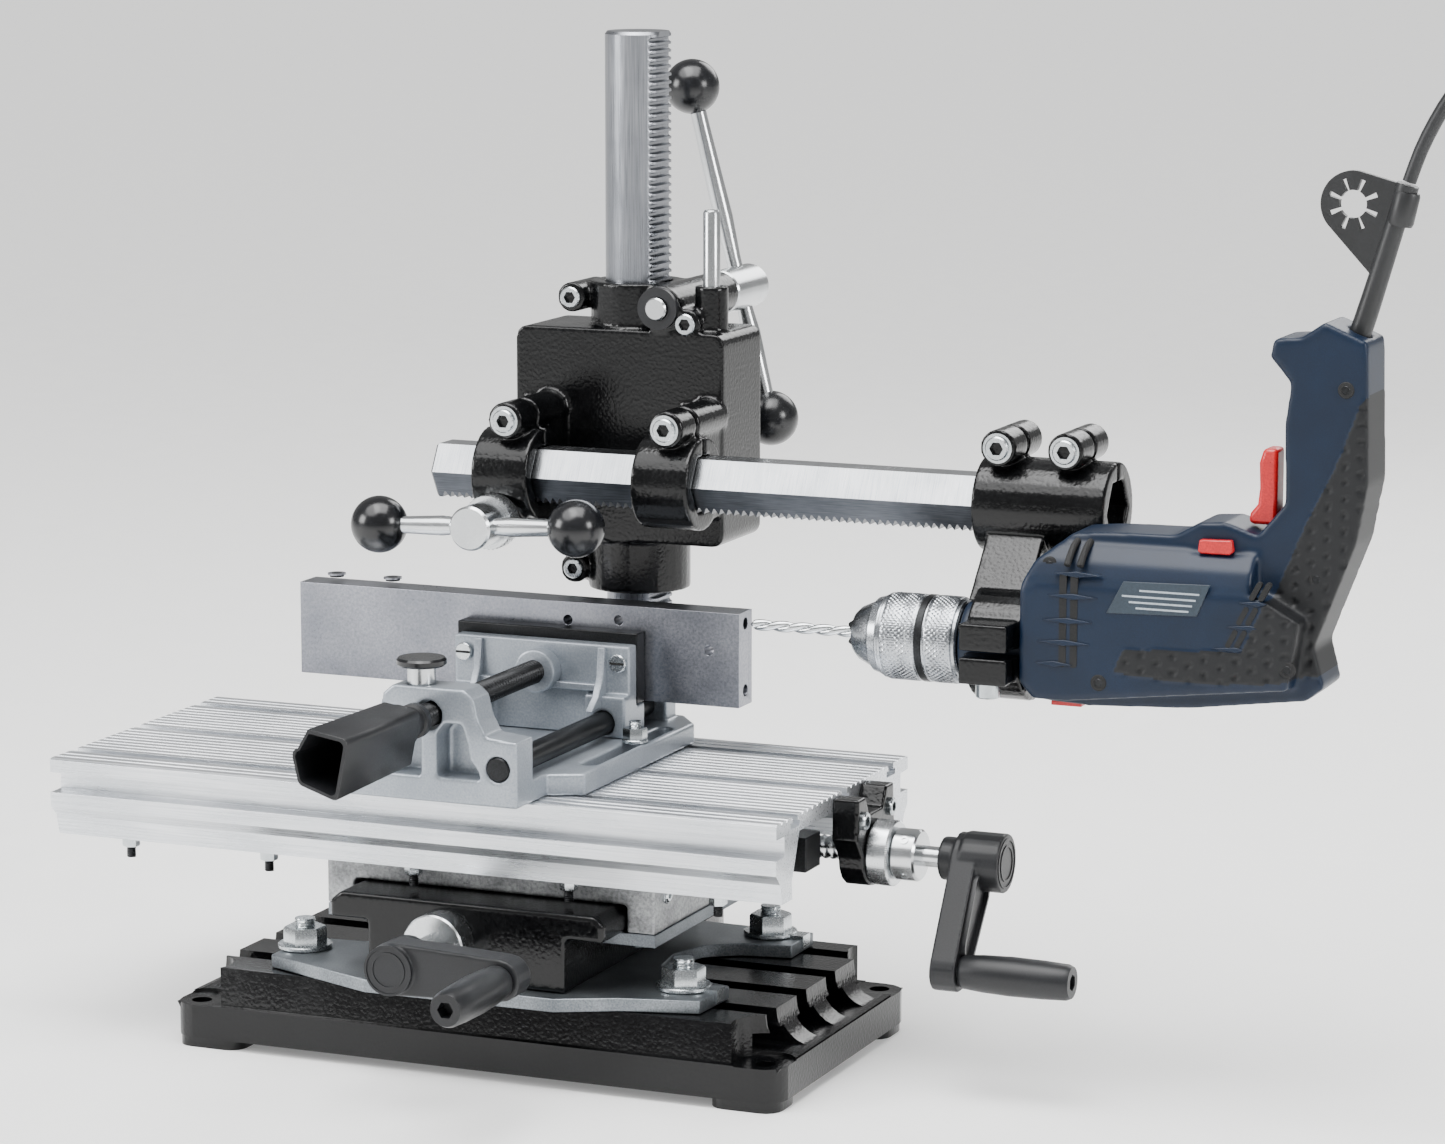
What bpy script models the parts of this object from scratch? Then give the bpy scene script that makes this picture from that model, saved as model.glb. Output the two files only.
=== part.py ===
"""Benchtop milling machine: a power drill on a geared arm over a coordinate table.

Lengths in the calls are drawing units from the middle of the base; UNIT turns them into
metres. X runs along the table, Y away from the operator, Z up.
"""
from math import cos, pi, radians, sin

import bmesh
import bpy
from mathutils import Matrix, Vector

UNIT = 0.000875  # metres per drawing unit
ORIGIN = Vector((111.0, -3.0, 0.0))  # middle of the whole machine, on the bench
GAP = 0.3  # running gap between neighbouring pieces

BASE_LENGTH, BASE_WIDTH, BASE_TOP = 385.0, 204.0, 48.5
FLANGE_LOW, FLANGE_TOP = 6.0, 26.0
SLOT_PITCH, SLOT_MOUTH, SLOT_THROAT = 45.0, 15.0, 26.0
COLUMN_X, COLUMN_Y, COLUMN_RADIUS, COLUMN_TOP = 4.0, 135.0, 20.0, 585.0
RACK_FLAT = 17.0  # column axis to the rack's flat
PLATE_TOP = 56.5
WAY_UNDER, WAY_TOP = 88.0, 103.0
TABLE_LEFT, TABLE_RIGHT = -272.0, 190.0
TABLE_FRONT, TABLE_BACK, TABLE_TOP, TABLE_LOW = -100.0, 105.0, 165.0, 118.0
TABLE_SLOTS = (-72.0, 2.5, 77.0)
CROSS_SCREW_X, CROSS_SCREW_Z = -12.0, 80.5
LONG_SCREW_Y, LONG_SCREW_Z = 12.0, 128.0
CRANK_REACH = 67.0
VISE_X, VISE_ROD_SPACING, VISE_ROD_Z, VISE_SCREW_Z = -13.0, 43.0, 187.0, 215.0
WORK_Y, WORK_DEPTH, WORK_LOW, WORK_TOP = 62.0, 20.0, 196.0, 252.0
BLOCK_FRONT, BLOCK_BACK, BLOCK_LOW, BLOCK_TOP = 103.5, 163.5, 281.0, 409.0
LIFT_X, LIFT_Z, LIFT_LEVER_Y = 31.0, 423.0, 228.0
FEED_X, FEED_Z, FEED_LEVER_Y = -45.0, 301.0, 10.0
PINION_RADIUS = 8.6
HEX_Y, HEX_Z, HEX_FLATS = 62.0, 326.0, 32.0
RINGS_X = (-43.0, 60.0)
DRILL_Y, DRILL_Z, NECK_RADIUS = 15.0, 254.0, 24.5
BALL_RADIUS = 17.0
CORD_RADIUS = 3.9
SLEEVE_BEND = [Vector(p) for p in ((480.5, 15, 433), (487, 15, 452), (507, 15, 519.5))]

SOLIDS = None
CUTTERS = None


def start():
    """Empties the file and makes the two collections."""
    global SOLIDS, CUTTERS
    for item in list(bpy.data.objects):
        bpy.data.objects.remove(item, do_unlink=True)
    SOLIDS = bpy.data.collections.new("benchtop_milling_machine")
    CUTTERS = bpy.data.collections.new("cutters")
    bpy.context.scene.collection.children.link(SOLIDS)
    bpy.context.scene.collection.children.link(CUTTERS)


def look(name, rgb, roughness, metallic):
    """A Principled material of its own for one sub-part."""
    material = bpy.data.materials.new(name)
    material.use_nodes = True
    shader = material.node_tree.nodes["Principled BSDF"]
    shader.inputs["Base Color"].default_value = (*rgb, 1.0)
    shader.inputs["Roughness"].default_value = roughness
    shader.inputs["Metallic"].default_value = metallic
    return material


ENAMEL = ((0.012, 0.012, 0.014), 0.35, 0.0)
PLASTIC = ((0.015, 0.015, 0.017), 0.5, 0.0)
STEEL = ((0.45, 0.46, 0.47), 0.3, 1.0)
DARK_STEEL = ((0.05, 0.05, 0.055), 0.4, 1.0)
ZINC = ((0.6, 0.62, 0.62), 0.25, 1.0)
ALUMINIUM = ((0.68, 0.69, 0.7), 0.35, 1.0)
CAST_ALUMINIUM = ((0.4, 0.4, 0.4), 0.6, 1.0)
SILVER_PAINT = ((0.33, 0.35, 0.37), 0.4, 0.3)
BLUE = ((0.02, 0.06, 0.12), 0.45, 0.0)
RED = ((0.45, 0.02, 0.02), 0.4, 0.0)
RUBBER = ((0.012, 0.012, 0.013), 0.7, 0.0)

FACING = {
    "X": (0.0, pi / 2, 0.0),
    "Y": (-pi / 2, 0.0, 0.0),
    "Z": (0.0, 0.0, 0.0),
}
PLANES = {
    "XY": (0.0, 0.0, 0.0),
    "XZ": (pi / 2, 0.0, 0.0),
    "YZ": (pi / 2, 0.0, pi / 2),
}


def world(place):
    """A point in drawing units as metres from the machine's middle."""
    return (Vector(place) - ORIGIN) * UNIT


def part(name, mesh, place, turn=(0.0, 0.0, 0.0), finish=None):
    """One object: a sub-part when it has a finish, otherwise a cutter or an operand."""
    item = bpy.data.objects.new(name, mesh)
    item.location = world(place)
    item.rotation_euler = turn
    if finish is None:
        CUTTERS.objects.link(item)
        item.hide_render = True
        item.display_type = "WIRE"
        return item
    SOLIDS.objects.link(item)
    mesh.materials.append(look(name + "_look", *finish))
    return item


def mesh_from(name, build):
    """A mesh filled by build(bm)."""
    mesh = bpy.data.meshes.new(name)
    bm = bmesh.new()
    build(bm)
    bmesh.ops.recalc_face_normals(bm, faces=bm.faces)
    bm.to_mesh(mesh)
    bm.free()
    return mesh


def box(name, xs, ys, zs, finish=None):
    """A block between the given limits."""
    spans = [(hi - lo) * UNIT for lo, hi in (xs, ys, zs)]
    middle = [(lo + hi) / 2 for lo, hi in (xs, ys, zs)]

    def build(bm):
        bmesh.ops.create_cube(bm, size=1.0, matrix=Matrix.Diagonal((*spans, 1.0)))

    return part(name, mesh_from(name, build), middle, finish=finish)


def rod(name, axis, centre, radius, low, high, finish=None, steps=32, tip=None):
    """A round bar along an axis, from low to high on it; tip is the far end's radius."""
    place = list(centre)
    place["XYZ".index(axis)] = (low + high) / 2

    def build(bm):
        bmesh.ops.create_cone(
            bm,
            cap_ends=True,
            segments=steps,
            radius1=radius * UNIT,
            radius2=(radius if tip is None else tip) * UNIT,
            depth=(high - low) * UNIT,
        )

    item = part(name, mesh_from(name, build), place, FACING[axis], finish)
    if finish:
        smooth(item)
    return item


def turned(name, axis, centre, profile, finish=None, ring=False, steps=32):
    """A lathe shape: (radius, place along the axis) pairs, outer side from far to near end."""
    mesh = bpy.data.meshes.new(name)
    verts = [(r * UNIT, 0.0, h * UNIT) for r, h in profile]
    edges = [(k, k + 1) for k in range(len(verts) - 1)]
    if ring:
        edges.append((len(verts) - 1, 0))
    mesh.from_pydata(verts, edges, [])
    item = part(name, mesh, centre, FACING[axis], finish)
    spin = item.modifiers.new("Screw", "SCREW")
    spin.angle = 2 * pi
    spin.axis = "Z"
    spin.steps = steps
    spin.render_steps = steps
    spin.use_merge_vertices = True
    spin.merge_threshold = 1e-5
    spin.use_smooth_shade = False
    return item


def outline(name, plane, points, low, high, finish=None):
    """A flat outline thickened between low and high across its plane."""
    us = [p[0] for p in points]
    vs = [p[1] for p in points]
    mid_u, mid_v = (min(us) + max(us)) / 2, (min(vs) + max(vs)) / 2
    curve = bpy.data.curves.new(name, "CURVE")
    curve.dimensions = "2D"
    curve.fill_mode = "BOTH"
    curve.extrude = (high - low) * UNIT / 2
    spline = curve.splines.new("POLY")
    spline.points.add(len(points) - 1)
    spline.use_cyclic_u = True
    for slot, (u, v) in zip(spline.points, points, strict=True):
        slot.co = ((u - mid_u) * UNIT, (v - mid_v) * UNIT, 0.0, 1.0)
    mesh = mesh_of_curve(name, curve, flat=True)
    middle = (low + high) / 2
    place = {
        "XY": (mid_u, mid_v, middle),
        "XZ": (mid_u, middle, mid_v),
        "YZ": (middle, mid_u, mid_v),
    }[plane]
    return part(name, mesh, place, PLANES[plane], finish)


def mesh_of_curve(name, curve, flat=False):
    """The curve's evaluated surface with its caps welded on, flat ones made whole."""
    holder = bpy.data.objects.new(name + "_curve", curve)
    bpy.context.scene.collection.objects.link(holder)
    bpy.context.view_layer.update()
    evaluated = holder.evaluated_get(bpy.context.evaluated_depsgraph_get())
    mesh = bpy.data.meshes.new_from_object(evaluated)
    bpy.data.objects.remove(holder, do_unlink=True)
    bpy.data.curves.remove(curve)
    mesh.name = name
    mesh.materials.clear()
    bm = bmesh.new()
    bm.from_mesh(mesh)
    bmesh.ops.remove_doubles(bm, verts=bm.verts, dist=1e-6)
    if flat:
        bmesh.ops.dissolve_limit(bm, angle_limit=0.001, verts=bm.verts, edges=bm.edges)
    bmesh.ops.recalc_face_normals(bm, faces=bm.faces)
    bm.to_mesh(mesh)
    bm.free()
    return mesh


def ball(name, centre, finish):
    """A round knob."""

    def build(bm):
        bmesh.ops.create_uvsphere(bm, u_segments=20, v_segments=12, radius=BALL_RADIUS * UNIT)

    item = part(name, mesh_from(name, build), centre, finish=finish)
    smooth(item)
    return item


def smooth(item):
    """Round faces shaded smooth, edges over 35 degrees kept sharp."""
    item.data.shade_smooth()
    item.data.set_sharp_from_angle(angle=radians(35))


def boolean(item, operation, *others):
    """Adds or cuts each of others."""
    for other in others:
        step = item.modifiers.new(other.name, "BOOLEAN")
        step.operation = operation
        step.solver = "EXACT"
        step.object = other
    return item


def join(item, *others):
    return boolean(item, "UNION", *others)


def cut(item, *others):
    return boolean(item, "DIFFERENCE", *others)


def pivot(name, place):
    """An empty on a joint's axis."""
    item = bpy.data.objects.new(name, None)
    item.location = world(place)
    SOLIDS.objects.link(item)
    return item


def ride(carrier, *items):
    """Parents items to an unturned carrier without moving them."""
    for item in items:
        item.location = item.location - carrier.location
        item.parent = carrier


def arc(cu, cv, radius, start, end, steps=6):
    """Points of an arc in a plane, angles in degrees."""
    span = [radians(start + (end - start) * k / steps) for k in range(steps + 1)]
    return [(cu + radius * cos(a), cv + radius * sin(a)) for a in span]


def rounded(u0, u1, v0, v1, radius, steps=4):
    """A rectangle with rounded corners."""
    return (
        arc(u1 - radius, v0 + radius, radius, -90, 0, steps)
        + arc(u1 - radius, v1 - radius, radius, 0, 90, steps)
        + arc(u0 + radius, v1 - radius, radius, 90, 180, steps)
        + arc(u0 + radius, v0 + radius, radius, 180, 270, steps)
    )


def hexagon(cu, cv, flats):
    """A hexagon with its flats at top and bottom."""
    return [
        (cu + flats / 3**0.5 * cos(pi / 3 * k), cv + flats / 3**0.5 * sin(pi / 3 * k))
        for k in range(6)
    ]


def pill(start, reach, angle, near, far, steps=8):
    """A tapered link outline between two rounded ends."""
    su, sv = start
    eu, ev = su + reach * cos(angle), sv + reach * sin(angle)
    turn = angle * 180 / pi
    return arc(su, sv, near, turn + 90, turn + 270, steps) + arc(eu, ev, far, turn - 90, turn + 90, steps)


def base_plate():
    half_x, half_y = BASE_LENGTH / 2, BASE_WIDTH / 2
    flange = outline("flange", "XY", rounded(-half_x, half_x, -half_y, half_y, 14), FLANGE_LOW, FLANGE_TOP)
    end = [(172, BASE_TOP), *arc(192, BASE_TOP - 1.5, 20, 180, 270), (188, 20)]
    profile = end + [(-u, v) for u, v in reversed(end)]
    base = outline("base_plate", "XZ", profile, -half_y + 5, half_y - 5, ENAMEL)
    pad = outline(
        "column_pad",
        "XY",
        [(-46, 90), (54, 90)] + arc(4, 138, 50, 0, 180, 10),
        0.3,
        BASE_TOP - GAP,
    )
    join(base, flange, pad)
    for k, (sx, sy) in enumerate(((-1, -1), (1, -1), (-1, 1), (1, 1))):
        xs = sorted((sx * (half_x - 2), sx * (half_x - 44)))
        ys = sorted((sy * (half_y - 1), sy * (half_y - 34)))
        join(base, outline(f"foot_{k}", "XY", rounded(*xs, *ys, 10), 0, FLANGE_LOW + 2))
    for k in range(4):
        y = (k - 1.5) * SLOT_PITCH + 5
        tee = [
            (y - SLOT_THROAT / 2, 27.5),
            (y + SLOT_THROAT / 2, 27.5),
            (y + SLOT_THROAT / 2, 38),
            (y + SLOT_MOUTH / 2, 38),
            (y + SLOT_MOUTH / 2, 50),
            (y - SLOT_MOUTH / 2, 50),
            (y - SLOT_MOUTH / 2, 38),
            (y - SLOT_THROAT / 2, 38),
        ]
        cut(base, outline(f"slot_{k}", "YZ", tee, -200, 200))
    for k, (sx, sy) in enumerate(((-1, -1), (1, -1), (-1, 1), (1, 1))):
        spot = (sx * 179, sy * 89, 0)
        cut(base, rod(f"relief_{k}", "Z", spot, 19, FLANGE_TOP - 0.5, 60, steps=24))
        cut(base, rod(f"foot_hole_{k}", "Z", spot, 6, -5, 40, steps=16))
    return base


def column():
    spot = (COLUMN_X, COLUMN_Y, 0)
    under = BASE_TOP + GAP
    foot = turned(
        "column_foot",
        "Z",
        spot,
        [(42, 58), (42, under), (20.3, under), (20.3, 104), (30, 104), (31, 62)],
        ENAMEL,
        ring=True,
    )
    post = rod("column", "Z", spot, COLUMN_RADIUS, BASE_TOP, COLUMN_TOP, STEEL)
    flat = COLUMN_X + RACK_FLAT
    cut(post, box("rack_flat", (flat, flat + 10), (COLUMN_Y - 15, COLUMN_Y + 15), (112, 600)))
    return foot, post


def mounting_plate():
    """A plate with three arms that reach the slot bolts."""
    right = [(60, -114), (92, -98), (138, -86), (140, -48), (104, -38), (86, -20), (82, 6), (90, 32)]
    right += [(108, 45), (138, 51), (138, 86), (60, 88)]
    left = [(-54, 88), (-124, 86), (-126, 50), (-98, 42), (-80, 28), (-76, 4), (-80, -18), (-98, -36)]
    left += [(-134, -40), (-134, -86), (-58, -116)]
    plate = outline("mounting_plate", "XY", right + left, BASE_TOP + GAP, PLATE_TOP, STEEL)
    bolts = []
    for name, x, y in (
        ("plate_bolt_front_left", -124, -62.5),
        ("plate_bolt_front_right", 118, -62.5),
        ("plate_bolt_back_right", 116, 72.5),
    ):
        washer = rod(name, "Z", (x, y, 0), 16, PLATE_TOP + GAP, PLATE_TOP + 3, ZINC, 24)
        join(washer, outline(name + "_head", "XY", hexagon(x, y, 23), PLATE_TOP + 2.5, PLATE_TOP + 17))
        bolts.append(washer)
    return [plate, *bolts]


def cross_slide_base():
    """The box way that the saddle runs on."""
    half = [(62, PLATE_TOP + GAP), (62, WAY_UNDER + 0.3), (86, WAY_UNDER), (86, 98), (80, WAY_TOP)]
    way = outline(
        "cross_slide_base",
        "XZ",
        half + [(-u, v) for u, v in reversed(half)],
        -103,
        90,
        ENAMEL,
    )
    nut_slot = box("nut_slot", (-24, 0), (-70, 75), (69, 110))
    bore = rod("cross_bore", "Y", (CROSS_SCREW_X, 0, CROSS_SCREW_Z), 8.3, -110, 95)
    return cut(way, nut_slot, bore)


def cross_screw():
    """Feed screw, dial and crank of the cross feed."""
    spot = (CROSS_SCREW_X, 0, CROSS_SCREW_Z)
    screw = rod("cross_screw", "Y", spot, 8, -147.7, 84, STEEL)
    dial = turned(
        "cross_dial",
        "Y",
        spot,
        [(19, -103.6), (19, -118), (15, -121), (8.3, -121), (8.3, -103.6)],
        ALUMINIUM,
        ring=True,
    )
    arm = outline(
        "cross_crank_arm",
        "XZ",
        pill((CROSS_SCREW_X, CROSS_SCREW_Z), CRANK_REACH, 0, 15, 12),
        -173,
        -156,
        PLASTIC,
    )
    join(arm, rod("cross_hub", "Y", spot, 14.5, -176, -148, steps=24))
    grip = turned(
        "cross_crank_grip",
        "Y",
        (CROSS_SCREW_X + CRANK_REACH, 0, CROSS_SCREW_Z),
        [(0, -173.4), (9, -173.4), (11, -186), (11.5, -205), (10, -240), (0, -240)],
        PLASTIC,
        steps=24,
    )
    turning = pivot("cross_screw_axis", (CROSS_SCREW_X, -148, CROSS_SCREW_Z))
    ride(turning, screw, dial, arm, grip)
    return turning


def saddle():
    """The saddle wraps the box way, with retaining plates under it and the two feed nuts."""
    half = [(86.4, WAY_TOP + GAP), (86.4, 87.8), (104, 87.8), (104, TABLE_LOW - GAP)]
    body = outline("saddle", "XZ", half + [(-u, v) for u, v in reversed(half)], -71, 75, CAST_ALUMINIUM)
    join(body, box("slide_block", (-104, 104), (-20, 57), (TABLE_LOW - 4, 154.7)))
    cut(body, box("screw_tunnel", (-110, 110), (0, 24), (TABLE_LOW - GAP, 143)))
    plates = [
        box("saddle_retainer_left", (-104, -66), (-71, 75), (80, 87.5), CAST_ALUMINIUM),
        box("saddle_retainer_right", (66, 104), (-71, 75), (80, 87.5), CAST_ALUMINIUM),
    ]
    cross_nut = box("cross_feed_nut", (-23.7, -0.3), (-20, 20), (69.3, WAY_TOP), DARK_STEEL)
    cut(cross_nut, rod("cross_nut_bore", "Y", (CROSS_SCREW_X, 0, CROSS_SCREW_Z), 8.3, -30, 30))
    long_nut = box("long_feed_nut", (-20, 20), (0.3, 23.7), (TABLE_LOW, 142.7), DARK_STEEL)
    cut(long_nut, rod("long_nut_bore", "X", (0, LONG_SCREW_Y, LONG_SCREW_Z), 7.3, -30, 30))
    slide = pivot("saddle_slide", (0, 0, WAY_TOP))
    ride(slide, body, *plates, cross_nut, long_nut)
    return slide


def table():
    """Grooved table: a top plate on two channelled side rails, with three T-slots."""
    middle = (TABLE_FRONT + TABLE_BACK) / 2
    rail = [(0, 165), (0, 156.5), (12, 156.2), (12, 144.8), (0, 144.5), (0, 136), (6, 130), (9, 118)]
    rail += [(24, 118), (23, 128), (28, 140), (34, 155)]
    front = [(TABLE_FRONT + u, v) for u, v in rail]
    back = [(2 * middle - u, v) for u, v in reversed(front)]
    top = outline("table", "YZ", front + back, TABLE_LEFT, TABLE_RIGHT, ALUMINIUM)
    for k, y in enumerate(TABLE_SLOTS):
        tee = [(y - 7, 158), (y + 7, 158), (y + 7, 161.5), (y + 4, 161.5), (y + 4, 170), (y - 4, 170)]
        tee += [(y - 4, 161.5), (y - 7, 161.5)]
        cut(top, outline(f"table_slot_{k}", "YZ", tee, TABLE_LEFT - 5, TABLE_RIGHT + 5))
    guide = box("guide_bar", (TABLE_LEFT + 6, TABLE_RIGHT - 4), (-46, -24), (126, 146), DARK_STEEL)
    yoke = [(-16, 163), (-4, 163), (2, 152), (22, 152), (28, 163), (40, 163), (42, 140), (32, 128)]
    yoke += arc(LONG_SCREW_Y, LONG_SCREW_Z, 20, 0, -180, 8) + [(-18, 140)]
    bearing = outline("end_bearing", "YZ", yoke, TABLE_RIGHT + GAP, 206, ENAMEL)
    cut(bearing, rod("end_bore", "X", (0, LONG_SCREW_Y, LONG_SCREW_Z), 7.3, 180, 215))
    return [top, guide, bearing]


def long_screw():
    """Feed screw with its thrust collar, dial and crank at the right end of the table."""
    spot = (0, LONG_SCREW_Y, LONG_SCREW_Z)
    screw = turned(
        "long_screw",
        "X",
        spot,
        [(0, 247), (6, 247), (6, 234), (15, 234), (15, 219.3), (7, 219.3), (7, -150), (0, -150)],
        STEEL,
    )
    dial = turned(
        "long_dial",
        "X",
        spot,
        [(17, 219), (19, 217), (19, 206.3), (7.3, 206.3), (7.3, 219)],
        ALUMINIUM,
        ring=True,
    )
    lean = -radians(125)
    arm = outline(
        "long_crank_arm",
        "YZ",
        pill((LONG_SCREW_Y, LONG_SCREW_Z), CRANK_REACH, lean, 16, 12),
        257,
        272,
        PLASTIC,
    )
    join(arm, rod("long_collar", "X", spot, 12.5, 247.3, 260, steps=24))
    join(arm, rod("long_hub", "X", spot, 17, 262, 285, steps=24))
    end = (0, LONG_SCREW_Y + CRANK_REACH * cos(lean), LONG_SCREW_Z + CRANK_REACH * sin(lean))
    grip = turned(
        "long_crank_grip",
        "X",
        end,
        [(0, 338), (10, 338), (11.5, 305), (11, 285), (9, 272.4), (0, 272.4)],
        PLASTIC,
        steps=24,
    )
    turning = pivot("long_screw_axis", (247, LONG_SCREW_Y, LONG_SCREW_Z))
    ride(turning, screw, dial, arm, grip)
    return turning


def vise():
    """Drill-press vise: body with front wall and fixed jaw, rods, screw, jaws and button."""
    x = VISE_X
    right = [(x + 55, -121), (x + 55, -82), (x + 75, -73), (x + 75, 84), (x + 60, 104)]
    body = outline(
        "vise_body",
        "XY",
        right + [(2 * x - u, v) for u, v in reversed(right)],
        TABLE_TOP + GAP,
        178,
        SILVER_PAINT,
    )
    half = [(55, 170), (55, 203), (36, 205), (31, 214), (28, 226), (22, 231)]
    wall = [(x + u, v) for u, v in half] + [(x - u, v) for u, v in reversed(half)]
    join(body, outline("front_wall", "XZ", wall, -121, -99))
    join(body, box("fixed_jaw", (x - 57, x + 57), (83, 98), (176, 236)))
    screw_spot = (x, 0, VISE_SCREW_Z)
    cut(body, rod("screw_hole", "Y", screw_spot, 8.6, -125, -90, steps=24))
    cut(body, rod("button_hole", "Z", (x - 9, -110, 0), 8.6, 224, 240, steps=16))
    rods = []
    for side, name in ((-1, "vise_rod_left"), (1, "vise_rod_right")):
        spot = (x + side * VISE_ROD_SPACING, 0, VISE_ROD_Z)
        cut(body, rod(name + "_hole", "Y", spot, 7.3, -125, -90, steps=24))
        rods.append(rod(name, "Y", spot, 7, -120.5, 82.6, DARK_STEEL, 24))
        slot_x = x + side * 65
        cut(body, outline(f"lug_slot_{side}", "XY", rounded(slot_x - 5, slot_x + 5, -50, 66, 4.9), 160, 182))
        half = ((5, 180), (32, 180), (31, 185), (26, 191), (24.5, 199), (21, 211), (10, 211), (5, 205))
        pocket = [(side * u + x, v) for u, v in half]
        cut(body, outline(f"wall_pocket_{side}", "XZ", pocket, -125, -104))
    bolts = []
    for side, name in ((-1, "vise_bolt_left"), (1, "vise_bolt_right")):
        spot = (x + side * 65.5, 18, 0)
        bolt = rod(name, "Z", spot, 7.7, 178 + GAP, 180.5, ZINC, 20)
        join(bolt, outline(name + "_head", "XY", hexagon(spot[0], spot[1], 12.5), 180, 190))
        bolts.append(bolt)
    plate = box("fixed_jaw_plate", (x - 57, x + 57), (72.3, 82.7), (196, 238), DARK_STEEL)
    return [body, *rods, *bolts, plate]


def vise_moving():
    """Moving jaw with its plate, and the screw and hollow handle that turn in it."""
    x = VISE_X
    jaw = box("moving_jaw", (x - 57, x + 57), (29.5, 40), (178.3, 232), SILVER_PAINT)
    join(jaw, box("jaw_foot", (x - 57, x + 57), (35, 51.7), (178.3, 195.5)))
    for side in (-1, 1):
        spot = (x + side * VISE_ROD_SPACING, 0, VISE_ROD_Z)
        outer = sorted((x + side * 57, x + side * 31))
        join(jaw, box(f"rod_boss_{side}", outer, (22, 31), (178.3, 203)))
        cut(jaw, rod(f"jaw_bore_{side}", "Y", spot, 7.3, 10, 60, steps=24))
    plate = box("moving_jaw_plate", (x - 60, x + 57), (40.3, 51.7), (196, 238), DARK_STEEL)
    slide = pivot("vise_slide", (x, 30, 190))
    ride(slide, jaw, plate)
    spot = (x, 0, VISE_SCREW_Z)
    screw = rod("vise_screw", "Y", spot, 7.2, -134, 29.2, DARK_STEEL, 24)
    grip = [(-19, 4), (-14, -14), (4, -23), (17, -16), (18, 12), (13, 17), (-12, 16)]
    handle = outline("vise_handle", "XZ", [(x + u, VISE_SCREW_Z + v) for u, v in grip], -251, -160, PLASTIC)
    join(handle, rod("handle_neck", "Y", spot, 13, -165, -134.3, steps=16, tip=10))
    cut(handle, rod("handle_hollow", "Y", (x, 0, VISE_SCREW_Z - 2), 12, -260, -190, steps=12))
    turning = pivot("vise_screw_axis", (x, -134, VISE_SCREW_Z))
    ride(turning, screw, handle)
    button = turned(
        "release_button",
        "Z",
        (x - 9, -110, 0),
        [(0, 246), (13, 246), (14.3, 244), (14.3, 241), (8, 239), (8, 229.5), (0, 229.5)],
        STEEL,
        steps=24,
    )
    return [slide, turning, button]


def workpiece():
    """Ground bar with threaded and cross holes."""
    bar = box(
        "workpiece_bar",
        (-185, 104),
        (WORK_Y - WORK_DEPTH / 2, WORK_Y + WORK_DEPTH / 2),
        (WORK_LOW, WORK_TOP),
        STEEL,
    )
    for k, z in enumerate((245, 205)):
        cut(bar, rod(f"end_hole_{k}", "X", (0, WORK_Y, z), 3.6, 44, 110, steps=16))
    for k, (x, z) in enumerate(((-6, 241), (27, 243), (85, 229))):
        cut(bar, rod(f"cross_hole_{k}", "Y", (x, 0, z), 3, 45, 80, steps=16))
    return bar


def head_casting():
    """One casting: block, column collars, pinion housings and two split rings."""
    block = outline(
        "head_casting",
        "XZ",
        rounded(-63, 72, BLOCK_LOW, BLOCK_TOP, 7, 3),
        BLOCK_FRONT,
        BLOCK_BACK,
        ENAMEL,
    )
    post = (COLUMN_X, COLUMN_Y, 0)
    join(block, rod("upper_collar", "Z", post, 29, BLOCK_TOP - 5, 436))
    join(block, rod("lower_collar", "Z", post, 31, 249, BLOCK_LOW + 5))
    join(block, rod("lift_housing", "Y", (LIFT_X, 0, LIFT_Z), 13.5, 103, 194, steps=24))
    join(block, rod("pin_boss", "Z", (58, 120, 0), 10, BLOCK_TOP - 5, 436, steps=20))
    join(block, rod("pin_lug", "Y", (48, 0, 414), 9, 104, 125, steps=20))
    join(block, rod("upper_ear", "Y", (-31, 0, 426), 9, 113, 152, steps=20))
    join(block, rod("lower_ear", "Y", (-30, 0, 261), 9, 113, 152, steps=20))
    for k, x in enumerate(RINGS_X):
        join(block, rod(f"ring_{k}", "X", (0, HEX_Y, HEX_Z), 27.5, x - 18, x + 18))
        join(block, box(f"ring_arm_{k}", (x - 13, min(x + 13, 71)), (80, BLOCK_FRONT + 5), (300, 366)))
        join(block, rod(f"ring_ear_{k}", "Y", (x + 3, 0, 360), 11, 38, BLOCK_FRONT + 5, steps=24))
    join(block, rod("feed_boss", "Y", (FEED_X, 0, FEED_Z), 13, 36, BLOCK_FRONT + 5, steps=24))
    cut(block, outline("hex_way", "YZ", hexagon(HEX_Y, HEX_Z, HEX_FLATS + 0.6), -120, 120))
    for k, x in enumerate(RINGS_X):
        cut(block, box(f"ring_slit_{k}", (x - 25, x + 25), (60.5, 63.5), (335, 380)))
    cut(block, rod("column_bore", "Z", post, COLUMN_RADIUS + GAP, 240, 445))
    cut(block, rod("lift_bore", "Y", (LIFT_X, 0, LIFT_Z), PINION_RADIUS + GAP, 95, 200, steps=24))
    cut(block, rod("feed_bore", "Y", (FEED_X, 0, FEED_Z), PINION_RADIUS + GAP, 30, 90, steps=24))
    cut(block, rod("pin_bore", "Z", (58, 120, 0), 5.4, 415, 440, steps=16))
    pin = rod("clamp_pin", "Z", (58, 120, 0), 5.1, 415.3, 481, STEEL, 16)
    return block, pin


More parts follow.
